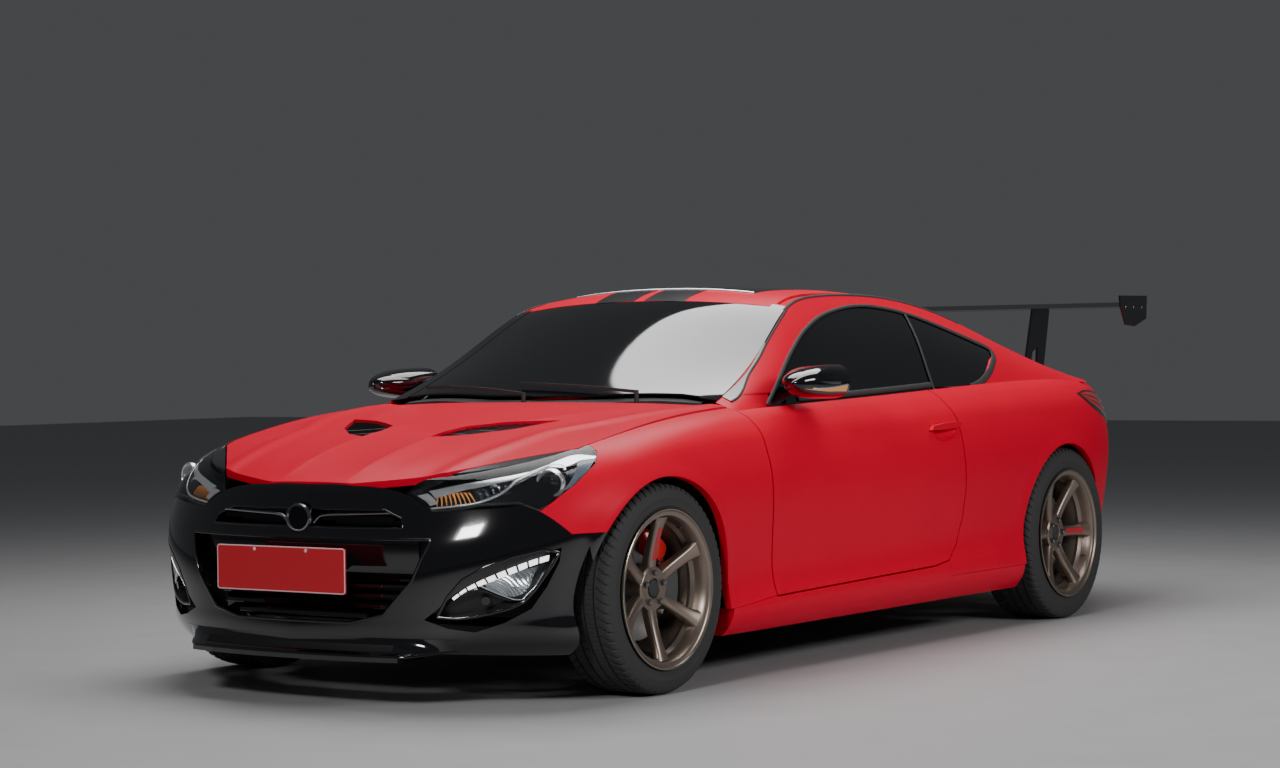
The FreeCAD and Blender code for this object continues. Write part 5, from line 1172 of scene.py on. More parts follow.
@dataclass
class Headlamp(OnSide):
    """Both headlamps: a dark bowl behind a clear lens, with the reflectors between them."""

    panels: BodyPanels
    swoosh: Line = ((0.286, 0.847), (0.340, 0.850), (0.400, 0.856), (0.435, 0.868), (0.473, 0.889),
                    (0.502, 0.913), (0.532, 0.940), (0.565, 0.958), (0.599, 0.972), (0.642, 0.982),
                    (0.686, 0.984), (0.708, 0.974), (0.700, 0.952))
    foot: Line = ((0.228, 0.924), (0.256, 0.870), (0.286, 0.826), (0.340, 0.826), (0.414, 0.842), (0.52, 0.83),
                  (0.575, 0.775), (0.642, 0.808), (0.718, 0.874), (0.798, 0.938), (0.832, 0.962))
    projector: tuple[float, float] = (0.617, 0.897)
    splay: float = 16.0
    facet: float = 0.014

    def ring(self, place: tuple[float, float], depth: float, profile: Line, count: int,
             closed: bool = False) -> Shape:
        """A turned part that looks ahead and splay degrees out, set below the lens."""
        centre = side_field(np.array([place[0]]), np.array([place[1]]))[0]
        points, faces = revolved(profile, (0, 0, 0), 0, count, closed)
        c, s = math.cos(math.radians(self.splay)), math.sin(math.radians(self.splay))
        turned = points @ np.array([[c, s, 0], [-s, c, 0], [0, 0, 1]])
        return turned + (centre - np.array([c, s, 0]) * depth) * MM, faces

    def lens_and_bowl(self, side: str) -> None:
        """Parts the lamp's own solid into its outer faces, clear, and the rest, turned to face out as a bowl."""
        node = "headlamp_" + side
        plan = PanelPlan(node, "chassis", ("side",), CLEAR, facet=self.facet)
        points, faces, normals, owner = self.panels.surface(plan)
        outer = owner != 0
        used, index = np.unique(faces[outer], return_inverse=True)
        lens = mesh_object("lens_" + side, points[used], index.reshape(-1, 3), CLEAR, normals[outer].reshape(-1, 3))
        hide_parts(node)
        used, index = np.unique(faces[~outer], return_inverse=True)
        bowl = mesh_object("lamp_bowl_" + side, points[used], index.reshape(-1, 3)[:, ::-1], LAMP_DARK, smooth=False)
        for piece in (lens, bowl):
            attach(piece, "chassis")
        log.info("lens and bowl %s: %d triangles", side, len(faces))

    def build(self) -> None:
        """Makes the lenses, bowls, reflectors, projectors, markers and the dark rims."""
        for side in ("left", "right"):
            self.lens_and_bowl(side)
        silver = Bundle("lamp_reflectors", SILVER)
        silver.add(self.ruled(
            [(0.29, 0.95), (0.386, 0.972), (0.479, 0.978), (0.57, 0.98), (0.666, 0.981), (0.74, 0.979)],
            [(0.300, 0.905), (0.381, 0.936), (0.44, 0.945), (0.53, 0.962), (0.60, 0.976), (0.70, 0.981)],
            6, 40, -12), both=True)
        silver.add(self.strip(resampled(self.swoosh, 60), np.linspace(7, 13, 60), 4, -9), both=True)
        silver.add(self.ruled([(0.665, 0.985), (0.72, 0.99), (0.79, 0.99), (0.828, 0.972)],
                              [(0.702, 0.965), (0.735, 0.968), (0.775, 0.974), (0.815, 0.966)], 6, 18, -7), both=True)
        silver.add(self.ruled([(0.255, 0.925), (0.272, 0.895), (0.284, 0.862)],
                              [(0.285, 0.935), (0.296, 0.905), (0.304, 0.872)], 5, 10, -8), both=True)
        silver.build()
        # Nine upright ribs stand on the indicator, and a chequer of flats on the facets beside it
        ribs = -24 + 3.0 * np.abs(np.sin(np.linspace(0, 1, 40) * math.pi * 9))
        amber = Bundle("lamp_indicators", AMBER)
        amber.add(self.ruled([(0.300, 0.93), (0.34, 0.938), (0.40, 0.925)],
                             [(0.292, 0.862), (0.372, 0.866), (0.408, 0.872)], 8, 40, ribs[None, :]), both=True)
        amber.build(angle=15)
        rows, columns = np.meshgrid(np.arange(9), np.arange(26), indexing="ij")
        chequer = -26 + 5.0 * ((rows + columns) % 2) + 4.0 * ((columns // 2) % 2)
        facets = Bundle("lamp_facets", FACET)
        facets.add(self.ruled([(0.405, 0.93), (0.47, 0.945), (0.55, 0.963)],
                              [(0.412, 0.868), (0.464, 0.888), (0.520, 0.925)], 9, 26, chequer), both=True)
        facets.build(angle=10)
        rings = Bundle("lamp_projector_rings", SILVER)
        rings.add(self.ring(self.projector, 30, ((47, -4), (46, 6), (43, 11), (39, 12), (36, 8), (34, -8), (36, -14)),
                            48, True), both=True)
        rings.add(self.ring((0.455, 0.905), 30, ((0, -12), (14, -8), (17, -2), (15, 0), (12, -6), (0, -9)), 24),
                  both=True)
        rings.build()
        glass = Bundle("lamp_projectors", PROJECTOR)
        glass.add(self.ring(self.projector, 34, ((0, 15), (10, 14), (20, 10), (28, 3), (31, -4), (31, -16), (0, -18)),
                            40), both=True)
        glass.build()
        bezel = Bundle("lamp_bezels", LAMP_DARK)
        bezel.add(self.ruled([(0.425, 0.872), (0.50, 0.905), (0.56, 0.945), (0.64, 0.97), (0.70, 0.965)],
                             [(0.42, 0.846), (0.50, 0.835), (0.57, 0.80), (0.64, 0.825), (0.71, 0.885)],
                             12, 40, np.linspace(-16, -46, 12)[:, None]), both=True)
        bezel.build()
        marker = Bundle("lamp_markers", MARKER)
        marker.add(self.ruled([(0.757, 0.970), (0.785, 0.972), (0.815, 0.966)],
                              [(0.652, 0.852), (0.68, 0.862), (0.725, 0.895)], 12, 12, -9), both=True)
        marker.build()
        Bundle("lamp_rims", PLASTIC).add(self.strip(spread(self.foot, 90), 9, 3.4, -3), both=True).build()


@dataclass
class FogPod(OnSide):
    """Both almond pods of the bumper: rim, dark net, lamp and a row of white light blocks."""

    THICK = 1.5
    blocks: int = 10
    pitch: int = 10
    top: Line = ((0.372, 0.318), (0.404, 0.373), (0.442, 0.415), (0.477, 0.444), (0.527, 0.480), (0.579, 0.510),
                 (0.628, 0.528))
    under: Line = ((0.378, 0.306), (0.407, 0.356), (0.446, 0.388), (0.483, 0.416), (0.529, 0.446), (0.581, 0.480),
                   (0.628, 0.500))
    outline: Line = ((0.343, 0.213), (0.393, 0.205), (0.440, 0.215), (0.488, 0.236), (0.530, 0.256), (0.565, 0.286),
                     (0.594, 0.345), (0.615, 0.405), (0.638, 0.475), (0.653, 0.538), (0.603, 0.562), (0.523, 0.539),
                     (0.447, 0.491), (0.393, 0.424), (0.362, 0.330), (0.343, 0.213))

    def build(self) -> None:
        """Makes the pods' floor, net, lamp, light blocks and rims."""
        share = np.linspace(0, 1, 14)[:, None]
        sunk = -34 * np.clip(np.minimum(share, 1 - share) * 7, 0.12, 1)
        floor = Bundle("fog_pods", NET)
        floor.add(self.ruled(
            [(0.343, 0.213), (0.362, 0.330), (0.393, 0.424), (0.447, 0.491), (0.523, 0.539), (0.603, 0.562),
             (0.653, 0.538)],
            [(0.344, 0.212), (0.400, 0.206), (0.450, 0.219), (0.505, 0.243), (0.560, 0.283), (0.612, 0.400),
             (0.652, 0.537)], 14, 44, sunk), both=True)
        floor.build("fog_lamps")
        shelf = Bundle("fog_frames", BLACK)
        shelf.add(self.ruled([(0.372, 0.318), (0.44, 0.372), (0.50, 0.330), (0.55, 0.297), (0.60, 0.375)],
                             [(0.369, 0.300), (0.44, 0.350), (0.50, 0.305), (0.556, 0.278), (0.615, 0.380)],
                             4, 40, np.array([-8, -6, -8, -26])[:, None]), both=True)
        shelf.add(self.strip(spread(self.outline, 120), 11, 4.5, -1.5), both=True)
        shelf.build()
        # The reflector is a dish with a chequer of flats
        rows, columns = np.meshgrid(np.arange(12), np.arange(24), indexing="ij")
        dish = -20 + 4.0 * ((rows + columns) % 2) - 6.0 * np.sin(rows / 11 * math.pi)
        lamp = Bundle("fog_reflectors", FACET_LIGHT)
        lamp.add(self.ruled([(0.452, 0.392), (0.529, 0.445), (0.600, 0.470)],
                            [(0.470, 0.352), (0.538, 0.312), (0.580, 0.340)], 12, 24, dish), both=True)
        lamp.build(angle=8)
        glass = Bundle("fog_lenses", CLEAR)
        glass.add(self.ruled([(0.444, 0.388), (0.529, 0.448), (0.612, 0.474)],
                             [(0.462, 0.350), (0.546, 0.300), (0.600, 0.362)], 10, 20, -7, 2.0), both=True)
        glass.build()
        edge = [(0.444, 0.384), (0.496, 0.335), (0.538, 0.302), (0.562, 0.298), (0.600, 0.372), (0.616, 0.436)]
        Bundle("fog_lamp_edges", SILVER).add(self.strip(spread(edge, 40), 4, 2.5, -7), both=True).build()
        light = Bundle("fog_light_blocks", LED)
        total = self.blocks * self.pitch
        line, under = resampled(self.top, total + 1), resampled(self.under, total + 1)
        for start in range(1, total, self.pitch):
            block = slice(start, start + self.pitch - 1)
            light.add(self.ruled(line[block], under[block], 3, 4, -5, 5), both=True)
        light.build()
        place = side_field(np.array([0.463]), np.array([0.300]))[0]
        normal = self.sheets.normals("side", place)
        tip = (place + normal * -12) * MM
        sensor = Bundle("fog_sensors", BLACK)
        sensor.add(tube(np.array([tip - normal * 0.02, tip, tip + normal * 0.004]), 13, 24), both=True)
        sensor.build()


@dataclass
class Nose:
    """The slot with its wings, the mouth with its slats, the plate and the lip, in millimetres.

    Outlines are seen from ahead, as (y, z).
    """

    sheets: BodySheets
    foot: float = 168.0
    rise: float = 506.0
    widest: float = 918.0
    dam_half: float = 560.0
    splitter_top: float = 161.0
    slot: Line = ((-60, 545), (-388, 547), (-378, 575), (-310, 601), (310, 601), (378, 575), (388, 547), (60, 545))
    mouth: Line = ((-488, 514), (-440, 388), (-345, 284), (-228, 258), (228, 258), (345, 284), (440, 388), (488, 514),
                   (0, 514), (-488, 514))
    badge: tuple[float, float] = (52.0, 572.0)
    number_plate: tuple[float, float, float] = (260.0, 351.0, 487.0)

    @staticmethod
    def nose_x(y: Array, back: float) -> Array:
        """Where the nose's plan curve, a superellipse, stands at y when it is moved back."""
        return NOSE_CENTRE + (NOSE - back) * (1 - (np.abs(y) / HALF) ** 2.5) ** (1 / 2.5)

    @staticmethod
    def sides(y: Array) -> Array:
        """Factors that put points of the left side on the side that y is on."""
        return np.stack([np.ones_like(y), np.where(y < 0, -1.0, 1.0), np.ones_like(y)], 1)

    def rim(self, outline: Line, width: float, height: float, count: int) -> Shape:
        """A bead over the skin along an outline seen from ahead."""
        path = spread(outline, count)
        # The turn undoes side_field's curve from y, with the widest half at these heights
        reach = np.clip(np.abs(path[:, 0]) / self.widest, 0, 1)
        turn = np.arcsin(reach ** 1.25) * 2 / math.pi
        place = side_field(turn, np.clip((path[:, 1] - self.foot) / self.rise, 0, 1))
        place[:, 1] = np.abs(path[:, 0])
        place[:, 2] = path[:, 1]
        mirror = self.sides(path[:, 0])
        line = self.sheets.on("side", place, -0.5) * mirror
        return bead(line, self.sheets.normals("side", place) * mirror, width, height)

    def wall(self, z: Sequence[float], backs: Sequence[float], half: float, thick: float) -> Shape:
        """A curved wall across the nose: heights and how far each stands back of the nose."""
        y = np.linspace(-half, half, 41)
        front = np.stack([np.stack([self.nose_x(y, b), y, np.full_like(y, h)], -1) for h, b in zip(z, backs)])
        return plate(front * MM, (front - np.array([thick, 0, 0])) * MM)

    def build(self) -> None:
        """Makes the panels behind the openings, rims, plate, bracket and lip."""
        behind = Bundle("nose_panels", BLACK)
        behind.add(self.wall((510, 470, 420, 388), (64, 62, 66, 88), 432, 6))
        behind.add(self.wall((430, 380, 320, 256), (118, 116, 118, 122), 400, 6))
        behind.add(self.wall((618, 600, 560, 532), (128, 124, 122, 118), 392, 6))
        for z, half in ((272, 262), (300, 330), (332, 372), (362, 396)):
            behind.add(self.wall((z + 14, z + 12, z + 2, z - 2), (60, 50, 46, 52), half, 26))
        behind.build("grille")
        rims = Bundle("nose_rims", BLACK)
        rims.add(self.rim(self.mouth, 9, 3.2, 220))
        rims.add(self.rim(self.slot, 7, 2.6, 180))
        rims.build()
        self.slot_wings()
        self.front_plate()
        self.air_dam()

    def slot_wings(self) -> None:
        """The chrome wings each side of an oval ring, with a blank dish in it."""
        back, height = self.badge
        wings = Bundle("slot_wings", WING_CHROME)
        y = np.linspace(52, 340, 30)
        z = np.interp(y, [52, 75, 110, 340], [556, 578, 583, 590])
        lean = np.repeat(unit(np.array([[0.6, 0, 0.8]])), 30, 0)
        for sign in (1, -1):
            path = np.stack([self.nose_x(y, 60), y * sign, z], -1) * MM
            wings.add(bead(path, lean, np.linspace(9, 5, 30), 5))
        oval = np.array([1.0, 1.16, 1.0])
        ring, faces = revolved([(44, -6), (45, 4), (42, 9), (37, 10), (34, 6), (33, -6)],
                               (NOSE_CENTRE + NOSE - back, 0, height), 0, 56, True)
        wings.add((ring * oval, faces))
        wings.build()
        dish, faces = revolved([(0, 2), (14, 3), (27, 1), (34, -2), (34, -12), (0, -12)],
                               (NOSE_CENTRE + NOSE - back - 2, 0, height), 0, 48)
        Bundle("slot_badge_blank", BLACK).add((dish * oval, faces)).build()

    def front_plate(self) -> None:
        """The blank plate's bracket, light edge and two screws."""
        half, low, high = self.number_plate
        face = FRONT_AXLE + 790
        holder = Bundle("plate_bracket", PLASTIC)
        holder.add(superblock((FRONT_AXLE + 742, 0, (low + high) / 2), (40, 150, 46), 8, 20, 40))
        holder.build()
        corner, angle = 8, np.linspace(0, math.pi / 2, 7)
        middles = ((-half + corner, low + corner), (half - corner, low + corner), (half - corner, high - corner),
                   (-half + corner, high - corner))
        line = [(y + corner * math.cos(start + a), z + corner * math.sin(start + a))
                for (y, z), start in zip(middles, (math.pi, 1.5 * math.pi, 0, 0.5 * math.pi)) for a in angle]
        path = np.array([(face, y, z) for y, z in line + line[:1]]) * MM
        edge = Bundle("plate_edge", PLATE_EDGE)
        edge.add(bead(path, np.tile([[1.0, 0, 0]], (len(path), 1)), 4, 1.6, 0.6))
        for y in (-105, 105):
            edge.add(revolved([(0, 2.2), (4, 2), (6, 0.4), (6, -1), (0, -1)], (face, y, high - 9), 0, 16))
        edge.build()

    def skin(self, y: Array, level: float, lift: float) -> Array:
        """Points of the bumper's skin at distances from the middle, in metres."""
        turn = np.arcsin(np.clip(np.abs(y) / 915, 0, 1) ** 1.075) * 2 / math.pi
        place = side_field(turn, np.full_like(y, level))
        place[:, 1] = np.abs(y)
        return self.sheets.on("side", place, lift) * self.sides(y)

    def air_dam(self) -> None:
        """The chin from the bumper's foot down to the splitter, with its narrow dark slot."""
        y = np.linspace(-self.dam_half, self.dam_half, 81)
        top, foot = self.skin(y, 0.085, 0.6), self.skin(y, 0.0, -2)
        edge = np.stack([self.nose_x(y, -26), y, np.full_like(y, self.splitter_top)], 1) * MM
        # The chin's edge leaves the splitter for the bumper's foot over its last 150 mm
        blend = np.clip((self.dam_half - np.abs(y)) / 150, 0, 1)[:, None]
        blend = blend ** 2 * (3 - 2 * blend)
        low = foot * (1 - blend) + edge * blend
        share = np.linspace(0, 1, 9)[:, None, None]
        front = ruled_grid(top, low, 9)
        front[..., 0] -= 0.012 * np.sin(share[..., 0] * math.pi) * blend[None, :, 0]
        under = np.stack([low, foot - [0.03, 0, -0.004]])
        dam = Bundle("front_lip", BLACK)
        dam.add(plate(front, front - np.array([0.006, 0, -0.001])))
        dam.add(plate(under, under + [0, 0, 0.004]))
        dam.add(bead(low + [0.0, 0, 0.001], np.tile([[0.9, 0, 0.3]], (81, 1)), 9, 3))
        dam.build()
        rows = front[3:7, 13:68] + [0.0015, 0, 0]
        Bundle("front_lip_slot", MESH_DARK).add(plate(rows, rows - [0.003, 0, 0])).build()


# Trim: glasshouse, roof, mirrors, wing, tail lamps and cabin


def ahead(x: Array | float) -> Array | float:
    """A station counted from the front axle, as a station of the frame."""
    return FRONT_AXLE + x


def cabin_at(x: Array, z: Array) -> Array:
    """Places on the side glass surface from stations ahead of the front axle and heights."""
    x = ahead(np.asarray(x, float))
    low, high = ease(SHOULDER, x) - 24, ease(GUTTER_HEIGHT, x)
    return cabin_field(x, (np.asarray(z, float) - low) / (high - low))


def gutter_at(x: Array) -> Array:
    """Places along the roof's edge from stations of the frame."""
    return np.stack([x, ease(GUTTER_WIDTH, x), ease(GUTTER_HEIGHT, x)], -1)


@dataclass
class Glasshouse:
    """Mouldings round the glass, the pillars' foot, the roof's stripes and its front edge.

    A line is a list of (distance ahead of the front axle, height), in millimetres.
    """

    sheets: BodySheets
    header_half: float = 588.0
    visor_half: float = 396.0
    window: Line = ((-806, 890), (-900, 945), (-1035, 1032), (-1150, 1101), (-1240, 1146), (-1380, 1194),
                    (-1540, 1224), (-1700, 1240), (-1860, 1238), (-2060, 1214), (-2302, 1160), (-2500, 1104),
                    (-2590, 1074), (-2588, 1052), (-2527, 1016), (-2440, 974), (-2330, 938), (-2200, 920),
                    (-2060, 914), (-1976, 913))
    window_widths: tuple[float, ...] = (15, 15, 14, 14, 14, 15, 17, 20, 26, 30, 28, 28)
    post: Line = ((-2045, 1211), (-2022, 1159), (-1996, 1083), (-1978, 996), (-1976, 920))
    pillar: Line = ((-640, 905), (-687, 917), (-753, 944), (-840, 992), (-930, 1045), (-1010, 1097), (-1086, 1143),
                    (-1160, 1186), (-1225, 1221))

    def strip(self, line: Line, width: Sequence[float] | float, height: float, count: int) -> Shape:
        """A bead over the side glass surface along a smooth line."""
        path = resampled(line, count)
        if not np.isscalar(width):
            width = np.interp(np.linspace(0, 1, count), np.linspace(0, 1, len(width)), width)
        return self.sheets.moulding("cabin", cabin_at(path[:, 0], path[:, 1]), width, height)

    def roof_patch(self, front: Array | float, rear: float, low: float, high: float, rows: int, columns: int,
                   lift: float) -> Shape:
        """A thin plate over the roof, between two lines of stations and two distances from the middle."""
        y = np.linspace(low, high, columns)
        x = ahead(np.linspace(np.broadcast_to(front, columns), np.broadcast_to(rear, columns), rows))
        return self.sheets.layer("roof", roof_field(x, y[None] / ease(GUTTER_WIDTH, x)), lift, lift - 1.6)

    def build(self) -> None:
        """Makes every moulding and patch of the cabin's outside."""
        surround = Bundle("window_mouldings", PLASTIC)
        surround.add(self.strip(self.window, self.window_widths, 4, 150), both=True)
        surround.add(self.strip(self.post, 14, 3, 30), both=True).build()
        for side, sign in (("left", 1.0), ("right", -1.0)):
            belt = Bundle("belt_moulding_" + side, PLASTIC, "door_" + side)
            x = np.linspace(-1006, -1958, 60)
            line = np.stack([x, ease(SHOULDER, ahead(x)) + 7], 1)
            belt.add(sided(self.strip(line, 22, 6, 60), sign)).build()
        ditch = Bundle("roof_mouldings", PLASTIC)
        edge = self.sheets.on("cabin", gutter_at(ahead(np.linspace(-1215, -2500, 70))), -0.5)
        ditch.add(bead(edge, unit(np.tile([[0.0, 0.6, 0.8]], (70, 1))), 13, 4), both=True)
        ditch.add(self.strip(self.pillar, 9, 4, 50), both=True).build()
        self.windshield_border()
        y = np.linspace(-self.header_half, self.header_half, 49)
        front = -1168 - 60 * (np.abs(y) / self.header_half) ** 2
        header = Bundle("roof_header", RED)
        header.add(self.roof_patch(front, -1246, -self.header_half, self.header_half, 7, 49, 1.0)).build()
        stripes = Bundle("roof_stripes", STRIPE)
        for low, high in ((22, 197), (-197, -22)):
            stripes.add(self.roof_patch(-1170, -1326, low, high, 8, 10, 1.7))
            stripes.add(self.roof_patch(-1834, -2340, low, high, 20, 10, 1.2))
        stripes.build()
        y, x = np.linspace(-self.visor_half, self.visor_half, 50), np.full(50, ahead(-1334))
        # The sunroof's silver edge glows: painted highlight
        visor = Bundle("sunroof_edge", SILVER)
        visor.add(self.sheets.moulding("roof", roof_field(x, y / ease(GUTTER_WIDTH, x)), 10, 5, 1)).build()
        self.pillar_foot()

    def windshield_border(self) -> None:
        """Covers the gap beside the windshield, on the side glass surface and on the roof's."""
        count, rows = 36, 5
        edge = resampled(self.pillar, count)
        across = np.linspace(0.90, 1.0, rows)[:, None] * np.ones(count)
        x = np.linspace(ahead(-600), ahead(-1238), count)[None] * np.ones((rows, 1))
        beside = ruled_grid(gutter_at(ahead(edge[:, 0])), cabin_at(edge[:, 0], edge[:, 1]), rows)
        border = Bundle("windshield_border", TINT)
        border.add(self.sheets.layer("cabin", beside, 1.2, -1.5), both=True)
        border.add(self.sheets.layer("roof", roof_field(x, across), 1.2, -1.5), both=True).build()

    def pillar_foot(self) -> None:
        """Fills the pillar's foot between its lower edge, the fender and the door."""
        x = np.linspace(-574, -842, 40)
        low = cabin_field(ahead(x), np.zeros(40)) - [0, 2, 6]
        top = cabin_at(x, np.interp(x, [-842, -780, -700, -600, -574], [938, 952, 944, 912, 902]))
        lift = np.linspace(-3, -1.2, 9)[:, None] * np.ones(40)
        foot = Bundle("pillar_feet", RED)
        foot.add(self.sheets.layer("cabin", ruled_grid(low, top, 9), lift, lift - 6), both=True).build()


@dataclass
class Mirror:
    """A mirror's cap, glass and indicator, over the solid that keeps its stalk and sail."""

    side: str
    front: float = -752.0
    depth: float = 246.0
    middle: Point = (0.0, 903.0, 968.0)
    half: tuple[float, float] = (94.0, 60.0)

    def shell(self, share: Array, angle: Array, grow: float = 0.0) -> Array:
        """Points of the cap's skin, in metres.

        Each section is a superellipse, and its size follows a quarter of a fuller one.

        Args:
            share: How far along from nose to back.
            angle: Where round the section, from the outer side upwards.
            grow: How far the section stands proud, in millimetres.

        Returns:
            Points of the left mirror.
        """
        size = (1 - (1 - share) ** 2.4) ** (1 / 2.4)
        c, s = np.cos(angle), np.sin(angle)
        wide = np.sign(c) * np.abs(c) ** 0.76 * (self.half[0] * size + grow)
        high = np.sign(s) * np.abs(s) ** 0.76 * (self.half[1] * size + grow)
        x = ahead(self.front - self.depth * share) - 26 * (1 - c) * 0.5 + 12 + np.zeros_like(high)
        return np.stack([x, self.middle[1] + wide, self.middle[2] + high - 6 * (1 - share) ** 2], -1)

    def piece(self, name: str, finish: Finish, shape: Shape) -> None:
        """Makes one piece of the left mirror's shape, on this mirror's own side."""
        sign = 1.0 if self.side == "left" else -1.0
        Bundle(f"{name}_{self.side}", finish, "door_" + self.side).add(sided(shape, sign)).build()

    def build(self) -> None:
        """Makes the mirror's pieces."""
        share = np.concatenate([[0.002], np.linspace(0, 1, 22)[1:] ** 1.6])
        angle = np.linspace(0, 2 * math.pi, 56, endpoint=False)
        rings = self.shell(*np.meshgrid(share, angle, indexing="ij"))
        last = rings[-1:]
        closing = last * 0.06 + last.mean(axis=1, keepdims=True) * 0.94 + [[[8, 0, 0]]]
        self.piece("mirror_cap", BLACK, loft(np.concatenate([rings, closing]) * MM))
        back = ahead(self.front - self.depth)
        # The mirror glass glows: painted reflection
        self.piece("mirror_glass", SILVER, superblock((back - 6, self.middle[1] - 4, self.middle[2] - 2), (5, 82, 47),
                                                      5, 12, 40))
        share, angle = np.meshgrid(np.linspace(0.10, 0.93, 24), np.linspace(0, 1, 6), indexing="ij")
        wedge = np.interp(share, [0.10, 0.5, 0.93], [0.0, 0.7, 1.0])
        angle = -0.14 - 0.36 * wedge * angle - 0.42 * (1 - share) ** 2
        self.piece("mirror_indicator", AMBER, plate(self.shell(share, angle, 2.0) * MM,
                                                    self.shell(share, angle, -2.0) * MM))
        path = self.shell(np.linspace(0.2, 0.93, 24), np.linspace(-0.36, -0.12, 24), 1.5) * MM
        self.piece("mirror_lens_edge", SILVER, tube(path, 3.2, 10))


@dataclass
class Tail(OnSide):
    """The tail lamps' lenses round the corners, the rear face, a painted shade line for the fuel flap's gap, and the
    wing's bolts.
    """

    nodes: dict[str, bpy.types.Object]
    flap: Line = ((1.917, 0.956), (1.946, 0.963), (1.961, 0.937), (1.965, 0.888), (1.966, 0.844), (1.955, 0.824),
                  (1.935, 0.818), (1.918, 0.826), (1.906, 0.845), (1.902, 0.890), (1.908, 0.932), (1.917, 0.956))

    def build(self) -> None:
        """Makes the pieces of the car's rear."""
        lens = Bundle("tail_lenses", TAIL_DARK)
        lens.add(self.ruled([(2.050, 0.918), (2.12, 0.934), (2.25, 0.925), (2.40, 0.90), (2.56, 0.875)],
                            [(2.055, 0.905), (2.11, 0.845), (2.20, 0.792), (2.36, 0.745), (2.56, 0.73)],
                            10, 50, 1.2, 3), both=True).build()
        top = np.array([(2.075, 0.918), (2.12, 0.930), (2.25, 0.921), (2.40, 0.896), (2.54, 0.872)])
        foot = np.array([(2.075, 0.905), (2.12, 0.855), (2.22, 0.800), (2.37, 0.755), (2.54, 0.738)])
        glow = Bundle("tail_elements", TAIL_RED)
        for low, high in ((0.10, 0.30), (0.42, 0.58), (0.70, 0.86)):
            glow.add(self.ruled(top * (1 - low) + foot * low, top * (1 - high) + foot * high, 4, 40, 2.4, 2.5),
                     both=True)
        glow.build()
        self.rear_face()
        # A dark red line of painted shade stands for the shadow in the fuel flap's gap
        Bundle("fuel_flap_gap_shade", GAP_SHADE).add(self.strip(resampled(self.flap, 90), 4, 0.5)).build()
        points, _ = triangles(self.nodes["rear_wing"])
        end_plate = points[points[:, 1] > 0.79] / MM
        low, high = end_plate.min(axis=0), end_plate.max(axis=0)
        bolts = Bundle("wing_bolts", STEEL, "trunk_lid")
        for share in (0.2, 0.5, 0.8):
            centre = (low[0] + (high[0] - low[0]) * share, high[1], low[2] + (high[2] - low[2]) * 0.62)
            bolts.add(revolved([(0, 3.4), (5, 3.2), (7, 1.6), (7, -1), (0, -1)], centre, 1, 18), both=True)
        bolts.build()

    def rear_face(self) -> None:
        """Makes the black valance with its fins, the plate's recess with a blank plate, and the reflectors; the plate
        and the reflectors glow with painted light.
        """
        valance = Bundle("rear_valance", PLASTIC)
        valance.add(self.ruled([(2.52, 0.13), (2.70, 0.20), (2.86, 0.235), (2.995, 0.24)],
                               [(2.50, 0.012), (2.68, 0.012), (2.85, 0.012), (2.995, 0.012)], 8, 40, 1.2, 3), both=True)
        for turn in (2.80, 2.88, 2.96):
            ends = (turn - 0.004, turn + 0.004)
            valance.add(self.ruled([(end, 0.20) for end in ends], [(end, 0.02) for end in ends], 8, 2, 9, 9), both=True)
        valance.build()
        recess = Bundle("rear_plate_recess", BLACK)
        recess.add(self.ruled([(2.83, 0.585), (2.90, 0.60), (2.995, 0.60)],
                              [(2.80, 0.36), (2.90, 0.345), (2.995, 0.345)], 8, 24, 1.0, 2.4), both=True).build()
        # The blank plate glows with painted light; no lamp is in it
        blank = Bundle("rear_number_plate", GLOWING_PLATE_RED)
        blank.add(superblock((TAIL - 0.5, 0, 392), (3.5, 260, 60), 16, 16, 72)).build()
        # The reflectors glow with painted light; a reflector is no lamp
        reflector = Bundle("rear_reflectors", TAIL_RED)
        reflector.add(self.ruled([(2.60, 0.27), (2.72, 0.285)], [(2.605, 0.24), (2.725, 0.255)], 4, 16, 2.2, 3),
                      both=True).build()


